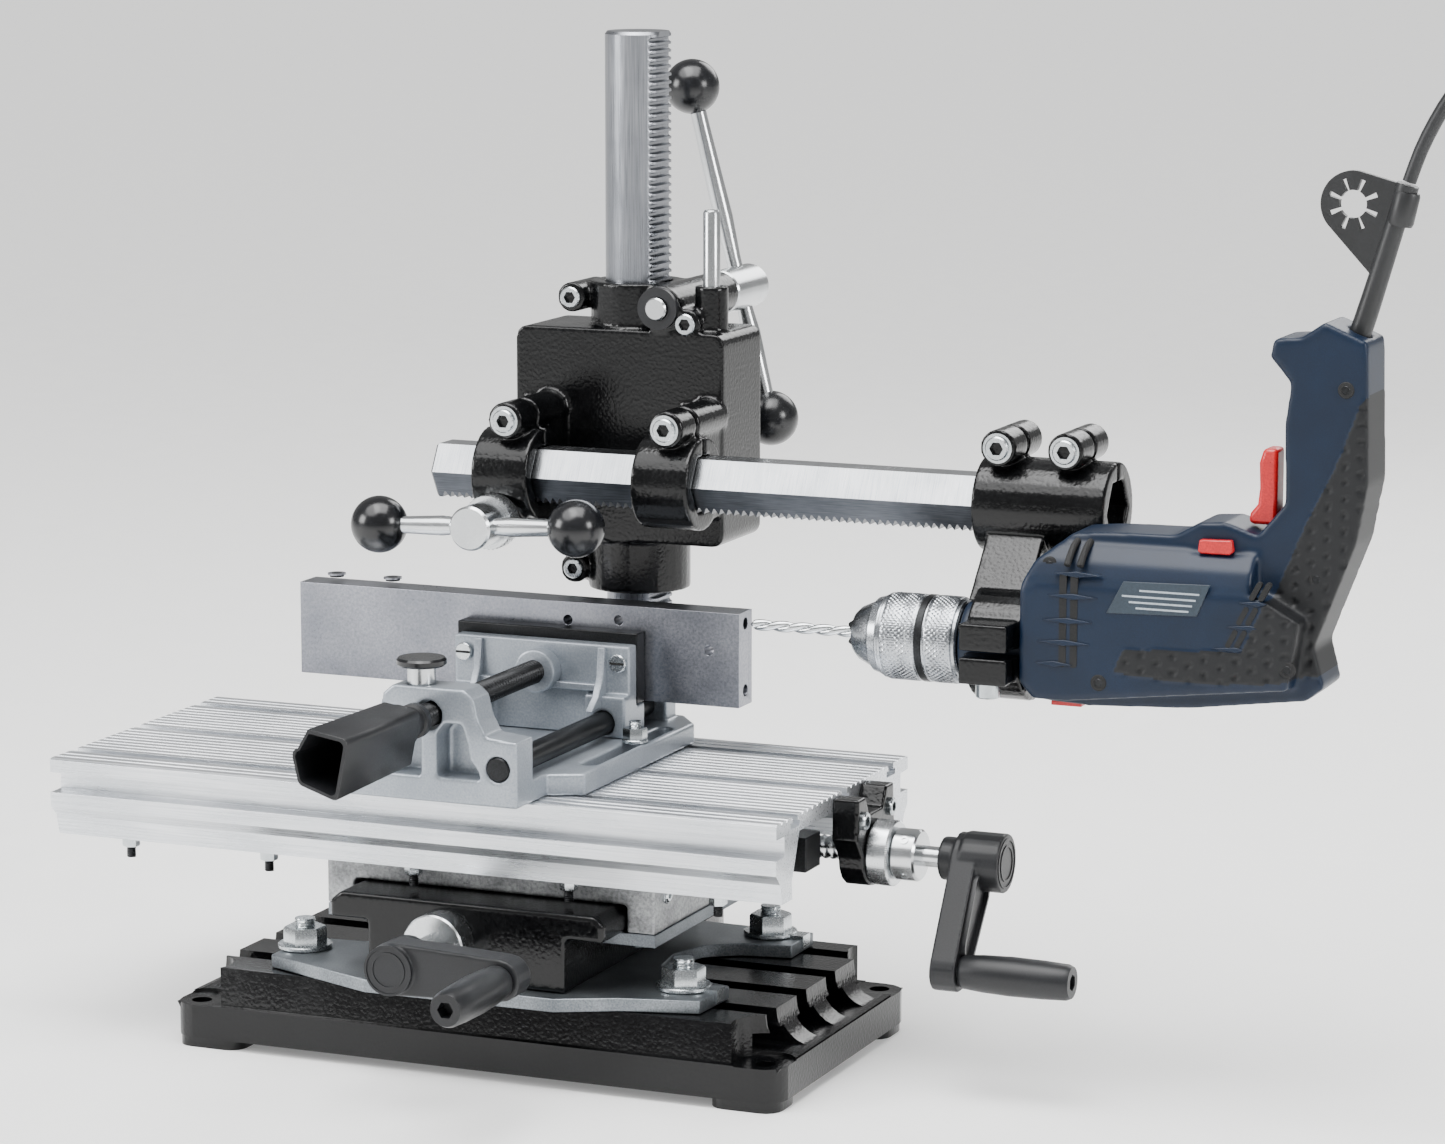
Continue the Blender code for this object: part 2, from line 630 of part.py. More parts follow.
def lever(name, axis_spot, plane_y, angle, reaches):
    """A bar through a hub with a ball on each end, in the XZ plane; returns bar and balls."""
    cx, cz = axis_spot
    ux, uz = cos(angle), sin(angle)
    near, far = reaches
    low, high = -(near - BALL_RADIUS - GAP), far - BALL_RADIUS - GAP
    bar = rod(name + "_rod", "X", (0, 0, 0), 5, low, high, STEEL, 16)
    middle = (low + high) / 2
    bar.location = world((cx + ux * middle, plane_y, cz + uz * middle))
    bar.rotation_euler = (0.0, pi / 2 - angle, 0.0)
    hole = rod(name + "_hole", "X", (0, 0, 0), 5.3, low - 5, high + 5, steps=16)
    hole.location = bar.location
    hole.rotation_euler = bar.rotation_euler
    knobs = [
        ball(name + "_ball_near", (cx - ux * near, plane_y, cz - uz * near), PLASTIC),
        ball(name + "_ball_far", (cx + ux * far, plane_y, cz + uz * far), PLASTIC),
    ]
    return bar, hole, knobs


def lift_drive():
    """Pinion shaft across the head, with its hub and two-ball lever behind."""
    spot = (LIFT_X, 0, LIFT_Z)
    profile = [(0, 243), (13.5, 243), (13.5, 195), (PINION_RADIUS, 195), (PINION_RADIUS, 110)]
    shaft = turned("lift_shaft", "Y", spot, profile + [(6.8, 110), (6.8, 97), (0, 97)], STEEL)
    bar, hole, knobs = lever("lift", (LIFT_X, LIFT_Z), LIFT_LEVER_Y, radians(104.6), (83, 127))
    cut(shaft, hole)
    turning = pivot("lift_axis", (LIFT_X, 195, LIFT_Z))
    ride(turning, shaft, bar, *knobs)
    return turning


def feed_drive():
    """Pinion shaft under the left ring, with its hub and two-ball lever in front."""
    spot = (FEED_X, 0, FEED_Z)
    profile = [(0, 88), (PINION_RADIUS, 88), (PINION_RADIUS, 35.7), (16.5, 35.7), (16.5, 24)]
    shaft = turned("feed_shaft", "Y", spot, profile + [(13.2, 24), (13.2, -1), (0, -1)], STEEL)
    bar, hole, knobs = lever("feed", (FEED_X, FEED_Z), FEED_LEVER_Y, radians(2.4), (64, 64))
    cut(shaft, hole)
    turning = pivot("feed_axis", (FEED_X, 36, FEED_Z))
    ride(turning, shaft, bar, *knobs)
    return turning


def arm():
    """Hexagonal rack bar, and the holder on its right end."""
    bar = outline("hex_bar", "YZ", hexagon(HEX_Y, HEX_Z, HEX_FLATS), -92, 320, STEEL)
    holder = rod("tool_holder", "X", (0, HEX_Y, HEX_Z), 27.5, 253, 332, ENAMEL)
    for k, x in enumerate((268, 308)):
        join(holder, rod(f"holder_ear_{k}", "Y", (x, 0, 361), 10.5, 38, 86, steps=24))
    slant = [(80, 314), (40, 314), (4, 274), (26, 262), (60, 292)]
    join(holder, outline("holder_neck", "YZ", slant, 262, 296))
    join(holder, rod("holder_collar", "X", (0, DRILL_Y, DRILL_Z), 31, 268, 300))
    join(holder, box("holder_lug", (270, 298), (-30, 0), (238, 272)))
    cut(holder, rod("neck_bore", "X", (0, DRILL_Y, DRILL_Z), NECK_RADIUS + GAP, 260, 310))
    cut(holder, outline("holder_hex", "YZ", hexagon(HEX_Y, HEX_Z, HEX_FLATS + 0.6), 240, 340))
    cut(holder, box("lug_slit", (260, 305), (-35, -5), (253, 257)))
    cut(holder, box("ring_slit", (245, 340), (60.5, 63.5), (335, 380)))
    return bar, holder


def drill():
    """Corded drill, handle upwards: housing, chuck, bit, trigger and two selectors."""
    side = [(301, 292), (309, 308), (327, 322.5), (350, 324.5), (386, 325), (400, 333), (415, 334), (433, 328)]
    side += [(448, 346), (447, 390), (450, 412), (438, 426), (440, 436), (455, 437), (468, 446)]
    side += [(492, 436), (493, 403), (494, 359), (488, 326), (475, 292), (466, 268), (472, 246)]
    side += [(462, 238), (396, 229), (338, 226), (303, 228)]
    housing = outline("drill_housing", "XZ", side, DRILL_Y - 20, DRILL_Y + 18.5, BLUE)
    low = [(302, 240), (302, 290), (312, 296), (440, 296), (462, 284), (456, 246), (330, 231), (310, 231)]
    join(housing, outline("motor_body", "XZ", low, DRILL_Y - 36, DRILL_Y + 36))
    shoulder = [(-20.8, 288), (-19.5, 299), (-15.5, 309), (-8, 317), (0, 321), (6, 322), (6, 288)]
    join(housing, outline("motor_shoulder", "YZ", shoulder, 302, 434))
    slope = [(290, 292), (301, 292), (309, 308), (327, 322.5), (330, 340), (290, 340)]
    cut(housing, outline("front_slope", "XZ", slope, DRILL_Y - 40, DRILL_Y + 40))
    cut(housing, box("slider_well", (396, 426), (DRILL_Y - 40, DRILL_Y - 20), (316.5, 330)))
    spot = (0, DRILL_Y, DRILL_Z)
    join(housing, rod("drill_neck", "X", spot, NECK_RADIUS, 261, 310))
    cut(housing, box("trigger_well", (430, 446.5), (DRILL_Y - 8.3, DRILL_Y + 8.3), (331, 376)))
    cut(housing, tube("cord_socket", smooth_route(SLEEVE_BEND, 12), 6.6))
    chuck = turned(
        "drill_chuck",
        "X",
        spot,
        [(0, 260), (25, 260), (25, 206), (22, 194), (10, 191.5), (0, 191.5)],
        STEEL,
    )
    bit = turned("drill_bit", "X", spot, [(0, 191.2), (3.3, 191.2), (3.3, 131), (0, 127)], STEEL, steps=12)
    turning = pivot("spindle_axis", (260, DRILL_Y, DRILL_Z))
    ride(turning, chuck, bit)
    trigger = box("drill_trigger", (424, 440), (DRILL_Y - 8, DRILL_Y + 8), (332, 374), RED)
    slider = box("direction_slider", (401, 421), (DRILL_Y - 25.5, DRILL_Y - 20.3), (317, 325), RED)
    selector = box("mode_selector", (312, 330), (DRILL_Y - 8, DRILL_Y + 8), (222.6, 225.3), RED)
    return housing, turning, trigger, slider, selector


def smooth_route(points, spacing):
    """Points along a smooth curve through the given ones, about spacing apart."""
    ends = [points[0] * 2 - points[1], *points, points[-1] * 2 - points[-2]]
    line = []
    for a, b, c, d in zip(ends, ends[1:], ends[2:], ends[3:]):
        steps = max(1, round((c - b).length / spacing))
        for k in range(steps):
            t = k / steps
            line.append(
                0.5
                * (
                    2 * b
                    + (c - a) * t
                    + (2 * a - 5 * b + 4 * c - d) * t**2
                    + (3 * b - a - 3 * c + d) * t**3
                )
            )
    return [*line, points[-1]]


def tube(name, route, radius, finish=None):
    """A round tube along a route, closed at both ends."""
    curve = bpy.data.curves.new(name, "CURVE")
    curve.dimensions = "3D"
    curve.bevel_depth = radius * UNIT
    curve.bevel_resolution = 2
    curve.use_fill_caps = True
    spline = curve.splines.new("POLY")
    spline.points.add(len(route) - 1)
    for slot, point in zip(spline.points, route, strict=True):
        slot.co = (*(point * UNIT), 1.0)
    item = part(name, mesh_of_curve(name, curve), (0, 0, 0), finish=finish)
    smooth(item)
    return item


CORD_START = (507.6, 15, 521.3)
COIL_CENTRE = (648, 27)
COIL_INNER, COIL_OUTER, COIL_HEIGHT = 37.5, 54.5, 32.4


def cord():
    """Sleeve, key holder, cord and the coil that its spare length makes on the bench."""
    sleeve_route = smooth_route(SLEEVE_BEND, 12)
    sleeve = tube("cord_sleeve", sleeve_route, 6.2, RUBBER)
    sleeve.location.z += GAP * UNIT
    tear = arc(477, 509, 17.5, 60, 215, 10) + [(481, 478), (488, 483), (496, 512), (492, 523)]
    key_holder = outline("key_holder", "XZ", tear, 13, 17, RUBBER)
    cut(key_holder, rod("key_hole", "Y", (478, 0, 508), 8, 5, 25, steps=16))
    cut(key_holder, tube("sleeve_space", sleeve_route, 6.7))
    path = [CORD_START, (513.4, 15, 537.8), (520.9, 15, 553.6), (529.9, 15, 568.6), (541, 15.5, 583)]
    path += [(552.1, 16, 591.7), (565.8, 16.5, 595.1), (579.7, 17, 592.6), (591.5, 17.5, 584.7)]
    path += [(598.5, 18, 573.8), (601, 18.5, 561.1), (601, 17.5, 520), (600.5, 14, 440), (599.5, 7, 330)]
    path += [(598.5, -1, 220), (598, -6.5, 130), (598, -7, 90), (598, -7, 62.4), (598, -4.4, 49.4)]
    path += [(598, 5.7, 36.2)]
    line = smooth_route([Vector(p) for p in path], 18)
    lead = tube("cord", line, CORD_RADIUS, RUBBER)
    cx, cy = COIL_CENTRE
    coil = turned(
        "cord_coil",
        "Z",
        (cx, cy, 0),
        [(COIL_OUTER, COIL_HEIGHT), (COIL_OUTER, 0.1), (COIL_INNER, 0.1), (COIL_INNER, COIL_HEIGHT)],
        RUBBER,
        ring=True,
    )
    plug = rod("cord_plug", "Y", (cx - 50, 0, 13.6), 9, cy + 45, cy + 93, RUBBER, 16, tip=13)
    return sleeve, key_holder, lead, coil, plug


def machine():
    """Builds every sub-part and hangs the moving ones from their carriers."""
    start()
    base_plate()
    column()
    mounting_plate()
    cross_slide_base()
    cross_screw()
    cross = saddle()
    bed = pivot("table_slide", (0, 0, TABLE_TOP))
    ride(bed, *table())
    jaw, jaw_screw, button = vise_moving()
    ride(jaw, jaw_screw)
    ride(bed, long_screw(), *vise(), jaw, button, workpiece())
    ride(cross, bed)
    casting, pin = head_casting()
    head = pivot("head_slide", (COLUMN_X, COLUMN_Y, BLOCK_LOW))
    reach = pivot("arm_slide", (0, HEX_Y, HEX_Z))
    ride(reach, *arm(), *drill(), *cord()[:2])
    ride(head, casting, pin, lift_drive(), feed_drive(), reach)


machine()
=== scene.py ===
"""Looks of a benchtop milling machine: castings, ground steel, extrusion, drill and cord."""

from math import atan2, cos, hypot, pi, radians, sin

import bmesh
import bpy
import numpy as np
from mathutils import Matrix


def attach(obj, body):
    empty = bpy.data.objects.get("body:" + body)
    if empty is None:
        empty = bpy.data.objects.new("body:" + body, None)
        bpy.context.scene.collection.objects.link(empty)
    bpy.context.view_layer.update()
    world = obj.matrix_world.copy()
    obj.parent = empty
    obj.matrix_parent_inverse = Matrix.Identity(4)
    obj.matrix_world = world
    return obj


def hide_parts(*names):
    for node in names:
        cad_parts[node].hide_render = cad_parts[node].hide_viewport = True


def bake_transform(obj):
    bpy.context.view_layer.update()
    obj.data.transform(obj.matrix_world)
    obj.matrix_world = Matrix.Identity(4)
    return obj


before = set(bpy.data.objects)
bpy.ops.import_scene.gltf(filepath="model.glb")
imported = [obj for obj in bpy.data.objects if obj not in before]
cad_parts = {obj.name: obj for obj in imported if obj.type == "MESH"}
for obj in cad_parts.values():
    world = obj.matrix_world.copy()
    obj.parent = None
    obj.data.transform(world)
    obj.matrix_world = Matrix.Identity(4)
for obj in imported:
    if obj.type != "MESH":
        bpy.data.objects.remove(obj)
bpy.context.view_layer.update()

UNIT = 0.000875  # metres per drawing unit
ORIGIN = np.array([111.0, -3.0, 0.0])  # middle of the machine in drawing units
MM = 0.001

# Places that several pieces share, in drawing units
COLUMN_AXIS = (4, 135)  # x, y
CROSS_SCREW_AXIS = (-12, 80.5)  # x, z
LONG_SCREW_AXIS = (12, 128)  # y, z
TABLE_TOP = 165
VISE_X = -13
LIFT_AXIS = (31, 423)  # x, z of the lift pinion
FEED_AXIS = (-45, 301)  # x, z of the arm's pinion
HEX_BAR_AXIS = (62, 326)  # y, z
SPINDLE_AXIS = (15, 254)  # y, z
RACK_PITCH = 4.712
SIDES = (("left", -1), ("right", 1))

AXES = {"X": (0, (1, 2)), "Y": (1, (2, 0)), "Z": (2, (0, 1))}
PLANES = {"XY": (0, 1, 2), "XZ": (0, 2, 1), "YZ": (1, 2, 0)}


# ---------------------------------------------------------------- materials
def linear(code):
    """A colour written as sRGB hex, as linear light."""
    parts = [int(code[k : k + 2], 16) / 255 for k in (1, 3, 5)]
    return [p / 12.92 if p < 0.04045 else ((p + 0.055) / 1.055) ** 2.4 for p in parts] + [1.0]


def add(tree, kind, links=None, **settings):
    """A node with its settings, its values and what feeds it."""
    node = tree.nodes.new(kind)
    for key, value in settings.items():
        setattr(node, key, value)
    for key, value in (links or {}).items():
        if isinstance(value, bpy.types.NodeSocket):
            tree.links.new(value, node.inputs[key])
        else:
            node.inputs[key].default_value = value
    return node


def finish(name, light, dark, rough, metal=0.0, grain=1.0, stretch=(1, 1, 1), depth=0.02,
           sharp=0.5, blotch=30.0, coat=0.0, specular=0.5):
    """One surface: fine grain and soft blotches mix two colours, steer the roughness and emboss it.

    grain and blotch are sizes in millimetres, depth is the height of the grain in millimetres.
    """
    material = bpy.data.materials.new(name)
    material.use_nodes = True
    tree = material.node_tree
    shader = tree.nodes["Principled BSDF"]
    place = add(tree, "ShaderNodeTexCoord").outputs["Object"]
    turned = add(tree, "ShaderNodeMapping", {"Vector": place, "Scale": stretch}).outputs["Vector"]
    fine = add(tree, "ShaderNodeTexNoise", {"Vector": turned, "Scale": 1000 / grain, "Detail": 3.0,
                                            "Roughness": sharp}).outputs["Fac"]
    broad = add(tree, "ShaderNodeTexNoise", {"Vector": place, "Scale": 1000 / blotch, "Detail": 4.0})
    share = add(tree, "ShaderNodeMath", {0: fine, 1: broad.outputs["Fac"]}, operation="MULTIPLY")
    spread = add(tree, "ShaderNodeMapRange", {"Value": share.outputs[0], "From Min": 0.12, "From Max": 0.4})
    colour = add(tree, "ShaderNodeMix", {"Factor": spread.outputs[0]}, data_type="RGBA")
    colour.inputs["A"].default_value = linear(dark)
    colour.inputs["B"].default_value = linear(light)
    tree.links.new(colour.outputs["Result"], shader.inputs["Base Color"])
    gloss = add(tree, "ShaderNodeMapRange", {"Value": share.outputs[0], "From Min": 0.1, "From Max": 0.45,
                                             "To Min": rough[0], "To Max": rough[1]})
    tree.links.new(gloss.outputs[0], shader.inputs["Roughness"])
    bump = add(tree, "ShaderNodeBump", {"Height": fine, "Distance": depth * MM, "Strength": 1.0})
    tree.links.new(bump.outputs[0], shader.inputs["Normal"])
    shader.inputs["Metallic"].default_value = metal
    shader.inputs["Coat Weight"].default_value = coat
    shader.inputs["Coat Roughness"].default_value = 0.12
    shader.inputs["Specular IOR Level"].default_value = specular
    return material


# Cast iron under sprayed black enamel: orange peel about 2 mm across, deep gloss
ENAMEL = finish("cast iron, sprayed black enamel", "#0b0c0d", "#040405", (0.16, 0.26), grain=1.7,
                depth=0.15, sharp=0.25, specular=0.32)
# Ground bright steel: faint lines across the bar, 0.3 mm apart
GROUND_X = finish("bright steel, ground across X", "#c9cbce", "#9da1a5", (0.18, 0.3), 1.0, grain=0.5,
                  stretch=(1, 0.03, 0.03), depth=0.0006)
GROUND_Z = finish("bright steel, ground down Z", "#9fa1a6", "#7a7d83", (0.24, 0.38), 1.0, grain=0.6,
                  stretch=(1, 1, 0.02), depth=0.0014, blotch=45)
TURNED = finish("bright steel, turned and polished", "#d9dbdc", "#bfc2c4", (0.18, 0.28), 1.0, grain=0.5,
                depth=0.0005)
PLATE = finish("mild steel plate, sawn and blasted", "#8f9498", "#5c6166", (0.34, 0.5), 0.9, grain=0.9,
               depth=0.012)
# Darker steel that paints shade on the hex bar's downward faces
SHADED_UNDERSIDE_STEEL = finish("bright steel, darkened underneath as painted shade", "#5d5f63", "#414347", (0.3, 0.42), 1.0, grain=0.6,
               stretch=(0.05, 1, 1), depth=0.002)
WIPED = finish("mild steel, ground and wiped with oil", "#a3a4ab", "#777a82", (0.26, 0.4), 1.0, grain=1.6,
               depth=0.0012, sharp=0.7, blotch=38)
CHUCK = finish("chuck steel, knurled and chromed", "#c3c6ca", "#8f9398", (0.2, 0.32), 1.0, grain=0.8,
               depth=0.001)
ZINC = finish("steel, bright zinc plated", "#d6dadc", "#b4babd", (0.2, 0.32), 1.0, grain=0.8, depth=0.001)
# Black oxide: dark oiled steel with a dull metal shine
OXIDE = finish("steel, black oxide and oil", "#2b2c2e", "#111213", (0.3, 0.45), 0.7, grain=0.9, depth=0.01)
# Mill finish extrusion: die lines along X
EXTRUDED = finish("aluminium, extruded mill finish", "#eceef1", "#c6cacf", (0.24, 0.36), 0.85, grain=1.0,
                  stretch=(0.02, 1, 1), depth=0.0025, blotch=60)
CAST = finish("aluminium, sand cast and bare", "#b9bbbc", "#6f7072", (0.42, 0.62), 0.85, grain=1.4,
              depth=0.28, sharp=0.6, blotch=14)
TURNED_ALUMINIUM = finish("aluminium, turned", "#e3e5e7", "#c8cbcd", (0.22, 0.32), 1.0, grain=0.5,
                          depth=0.001)
SILVER = finish("die-cast zinc, silver paint", "#a3a9b0", "#868d95", (0.3, 0.42), 0.5, grain=1.1, depth=0.03,
                coat=0.2)
PHENOLIC = finish("phenolic, moulded and polished", "#121316", "#0b0c0e", (0.18, 0.28), grain=2.5,
                  depth=0.01)
NYLON = finish("glass-filled nylon, moulded black", "#1a1b1e", "#0f1012", (0.36, 0.48), grain=0.8,
               depth=0.04, specular=0.4)
RED = finish("ABS, moulded red", "#c61a1f", "#9c0f14", (0.26, 0.36), grain=1.0, depth=0.01)
LABEL = finish("polyester label, printed dark", "#22303c", "#18242e", (0.4, 0.5), grain=1.0, depth=0.004)
PRINT = finish("print, pale grey ink", "#aab4bc", "#8e989f", (0.5, 0.6), grain=1.0, depth=0.002)
CABLE = finish("PVC cable sheath, extruded", "#1a1b1d", "#101112", (0.38, 0.5), grain=0.8, depth=0.02)
# Black for vents, bores, screw wells and screw slots: painted shade standing in for the dark inside of
# hollows
SHADOW = finish("painted shade in hollows, black", "#08090a", "#050506", (0.7, 0.85), grain=1.0, depth=0.02)


# ---------------------------------------------------------------- shells: (points, faces)
def grid(points, wrap_u=False, caps=False):
    """A surface p(u, v) on an n by m grid whose rows are closed loops.

    wrap_u joins the last row to the first; caps close both end rows with one face each.
    """
    n, m = points.shape[:2]
    index = np.arange(n * m).reshape(n, m)
    index = np.hstack([index, index[:, :1]])
    if wrap_u:
        index = np.vstack([index, index[:1]])
    corners = (index[:-1, :-1], index[:-1, 1:], index[1:, 1:], index[1:, :-1])
    faces = np.stack([c.ravel() for c in corners], axis=1).tolist()
    if caps:
        faces += [index[0, :m].tolist(), index[-1, :m][::-1].tolist()]
    return points.reshape(-1, 3), faces


def lathe(axis, centre, profile, turns=48, shape=None):
    """r(h) turned about an axis: (r cos t, r sin t) across it; shape(t, h) multiplies r by its value."""
    along, (a, b) = AXES[axis]
    radius, height = np.array(profile, float).T
    t = np.linspace(0, 2 * pi, turns, endpoint=False)
    r = radius[:, None] * np.ones(turns)
    if shape is not None:
        r = r * shape(t[None, :], height[:, None])
    points = np.zeros((len(radius), turns, 3))
    points[..., a] = centre[a] + r * np.cos(t)
    points[..., b] = centre[b] + r * np.sin(t)
    points[..., along] = height[:, None]
    return grid(points, caps=True)


def prism(plane, outline, low, high):
    """A flat outline carried straight across its plane from low to high."""
    u, v, w = PLANES[plane]
    outline = np.array(outline, float)
    points = np.zeros((2, len(outline), 3))
    points[..., u] = outline[:, 0]
    points[..., v] = outline[:, 1]
    points[0, :, w] = low
    points[1, :, w] = high
    return grid(points, caps=True)


def box(xs, ys, zs):
    """A block: its outline in XY carried from the low to the high Z."""
    return prism("XY", [(xs[0], ys[0]), (xs[1], ys[0]), (xs[1], ys[1]), (xs[0], ys[1])], *zs)


def bar(start, end, profile, turns=32):
    """r(s) turned about the line from start to end, s from 0 to 1."""
    start, end = np.array(start, float), np.array(end, float)
    line = (end - start) / np.linalg.norm(end - start)
    side = np.cross(line, [0.0, 1.0, 0.0] if abs(line[1]) < 0.9 else [1.0, 0.0, 0.0])
    side = side / np.linalg.norm(side)
    over = np.cross(line, side)
    t = np.linspace(0, 2 * pi, turns, endpoint=False)
    ring = np.cos(t)[:, None] * side + np.sin(t)[:, None] * over
    radius, place = np.array(profile, float).T
    points = start + place[:, None, None] * (end - start) + radius[:, None, None] * ring
    return grid(points, caps=True)


def tube(path, radii, turns=16):
    """A circle carried along a path, square to it, with a radius at every point.

    Each ring starts at the cross product of the path's heading and (1, 1, 1), a heading no path takes.
    """
    path = np.array(path, float)
    run = np.gradient(path, axis=0)
    run = run / np.linalg.norm(run, axis=1)[:, None]
    side = np.cross(run, [1.0, 1.0, 1.0])
    side = side / np.linalg.norm(side, axis=1)[:, None]
    over = np.cross(run, side)
    t = np.linspace(0, 2 * pi, turns, endpoint=False)[None, :, None]
    ring = np.cos(t) * side[:, None] + np.sin(t) * over[:, None]
    return grid(path[:, None] + np.broadcast_to(radii, len(path))[:, None, None] * ring, caps=True)


def ball(centre, radius):
    """A sphere: half a circle, (radius sin a, radius cos a), turned about Z."""
    a = np.linspace(0, pi, 24)
    profile = [(radius * sin(k), centre[2] - radius * cos(k)) for k in a]
    return lathe("Z", centre, profile, 40)


def hex_wave(t, h):
    """Radius of a hexagon of unit flats at angle t: 1 / cos of the angle to the nearest flat."""
    return 1 / np.cos((t + pi / 6) % (pi / 3) - pi / 6) + 0 * h


def nut(axis, centre, flats, low, high, out=1):
    """A hexagon head whose outer corners are turned off at 30 degrees."""
    step = (high - low) * 0.12
    levels = [low, low, high - step, high, high]
    sizes = [0, flats / 2, flats / 2, flats / 2 * 0.93, 0]
    if out < 0:
        levels = [high, high, low + step, low, low]
    return lathe(axis, centre, list(zip(sizes, levels)), 48, hex_wave)


def disc(axis, centre, radius, low, high, ease=0.6, turns=40):
    """A round slice with eased rims."""
    return lathe(axis, centre, [(0, low), (radius - ease, low), (radius, low + ease), (radius, high - ease),
                                (radius - ease, high), (0, high)], turns)


def collar(axis, centre, outer, inner, low, high):
    """A flat ring: the outline of its wall turned about the axis."""
    wall = [(inner, low), (outer, low), (outer, high), (inner, high), (inner, low)]
    points, faces = lathe(axis, centre, wall, 48)
    return points, faces[:-2]


def cap_screw(axis, centre, radius, back, face):
    """A cylinder-head screw: outer drum, eased rim and a hexagon socket sunk into its face."""
    out = 1 if face > back else -1
    socket = radius * 0.52
    levels = [(0, back), (radius, back), (radius, face - 0.7 * out), (radius - 0.7, face), (socket, face),
              (socket, face - 3.6 * out), (0, face - 3.6 * out)]

    def shape(t, h):
        ring = np.arange(len(levels))[:, None]
        return np.where((ring == 4) | (ring == 5), hex_wave(t, 0 * h), 1.0)

    return lathe(axis, centre, levels, 36, shape)


def thread(axis, centre, radius, pitch, depth, low, high, turns=28):
    """r(t, h) = radius less depth times a triangle wave of h / pitch - t / 2 pi."""
    steps = int((high - low) / pitch * 5)
    levels = np.linspace(low, high, steps)

    def shape(t, h):
        wave = np.abs(((h / pitch - t / (2 * pi)) % 1.0) * 2 - 1)
        return 1 - depth / radius * wave

    profile = [(0, low), *[(radius, h) for h in levels], (0, high)]
    return lathe(axis, centre, profile, turns, shape)


def knurl(axis, centre, radius, low, high, pitch=3.0, depth=0.7, ease=1.0):
    """Crossed spirals: depth times the smaller of two slanted triangle waves, fading at the rims.

    The pitch is three times the real one, so that the diamonds still show.
    """
    around = round(2 * pi * radius / pitch)
    levels = np.linspace(low, high, round((high - low) / pitch) * 4 + 1)

    def shape(t, h):
        turn = t * around / (2 * pi)
        left = np.abs(((turn + h / pitch) % 1.0) * 2 - 1)
        right = np.abs(((turn - h / pitch) % 1.0) * 2 - 1)
        rim = np.clip(np.minimum(h - low, high - h) / ease, 0, 1)
        return 1 - depth / radius * (1 - rim * np.minimum(left, right))

    profile = [(0, low), *[(radius, h) for h in levels], (0, high)]
    return lathe(axis, centre, profile, around * 4, shape)


def arc(cu, cv, radius, start, end, steps=8):
    """Points of an arc in a plane, angles in degrees."""
    a = np.radians(np.linspace(start, end, steps + 1))
    return list(zip(cu + radius * np.cos(a), cv + radius * np.sin(a)))


# ---------------------------------------------------------------- pieces
def settle(mesh):
    """Joins seams and poles and turns every shell's faces outwards."""
    bm = bmesh.new()
    bm.from_mesh(mesh)
    bmesh.ops.remove_doubles(bm, verts=bm.verts, dist=1e-6)
    bmesh.ops.dissolve_degenerate(bm, dist=1e-7, edges=bm.edges)
    bmesh.ops.recalc_face_normals(bm, faces=bm.faces)
    bm.to_mesh(mesh)
    bm.free()


def register(name, mesh, body, material, replaces=(), ease=0.0, crease=35):
    """Puts a finished mesh on its body in place of the plain nodes; a blended piece has no body here."""
    mesh.materials.clear()
    mesh.materials.append(material)
    item = bpy.data.objects.new(name, mesh)
    bpy.context.scene.collection.objects.link(item)
    if ease:
        rim = item.modifiers.new("eased edges", "BEVEL")
        rim.width = ease * UNIT
        rim.segments = 2
        rim.limit_method = "ANGLE"
        rim.angle_limit = radians(40)
    mesh.shade_smooth()
    mesh.set_sharp_from_angle(angle=radians(crease))
    if body:
        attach(item, body)
    if replaces:
        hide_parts(*replaces)
    return item


def piece(name, body, material, shells, replaces=(), ease=0.0, crease=35):
    """One piece from closed shells in drawing units."""
    points = []
    faces = []
    for shell_points, shell_faces in shells:
        start = sum(len(p) for p in points)
        points.append(shell_points)
        faces += [[start + k for k in face] for face in shell_faces]
    mesh = bpy.data.meshes.new(name)
    mesh.from_pydata(((np.concatenate(points) - ORIGIN) * UNIT).tolist(), [], faces)
    settle(mesh)
    return register(name, mesh, body, material, replaces, ease, crease)


def plain_copy(node):
    """A node's solid as one welded mesh with its flat faces made whole."""
    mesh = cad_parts[node].data.copy()
    mesh.name = node + "_skin"
    bm = bmesh.new()
    bm.from_mesh(mesh)
    bmesh.ops.remove_doubles(bm, verts=bm.verts, dist=2e-6)
    bmesh.ops.dissolve_limit(bm, angle_limit=radians(0.6), verts=bm.verts, edges=bm.edges)
    bm.to_mesh(mesh)
    bm.free()
    return mesh


def machined(node, body, material, ease=0.8):
    """The node's own solid with its edges eased."""
    return register(node + "_eased", plain_copy(node), body, material, (node,), ease)


def remeshed(mesh, voxel, rounds):
    """The mesh rebuilt on a lattice of voxel millimetres and relaxed, so corners and junctions turn soft."""
    item = bpy.data.objects.new("blank", mesh)
    bpy.context.scene.collection.objects.link(item)
    lattice = item.modifiers.new("lattice", "REMESH")
    lattice.mode = "VOXEL"
    lattice.voxel_size = voxel * MM
    relax = item.modifiers.new("relax", "SMOOTH")
    relax.factor = 0.5
    relax.iterations = rounds
    bpy.context.view_layer.update()
    result = bpy.data.meshes.new_from_object(item.evaluated_get(bpy.context.evaluated_depsgraph_get()))
    bpy.data.objects.remove(item)
    return result


def cast(node, body, material, voxel=1.0, rounds=4):
    """A casting or moulding: the node's solid with soft corners and filleted junctions."""
    mesh = remeshed(plain_copy(node), voxel, rounds)
    return register(node + "_cast", mesh, body, material, (node,), crease=60)


def finish_node(node, material):
    """A node whose own shape shows, with its real finish."""
    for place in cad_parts[node].material_slots:
        place.material = material


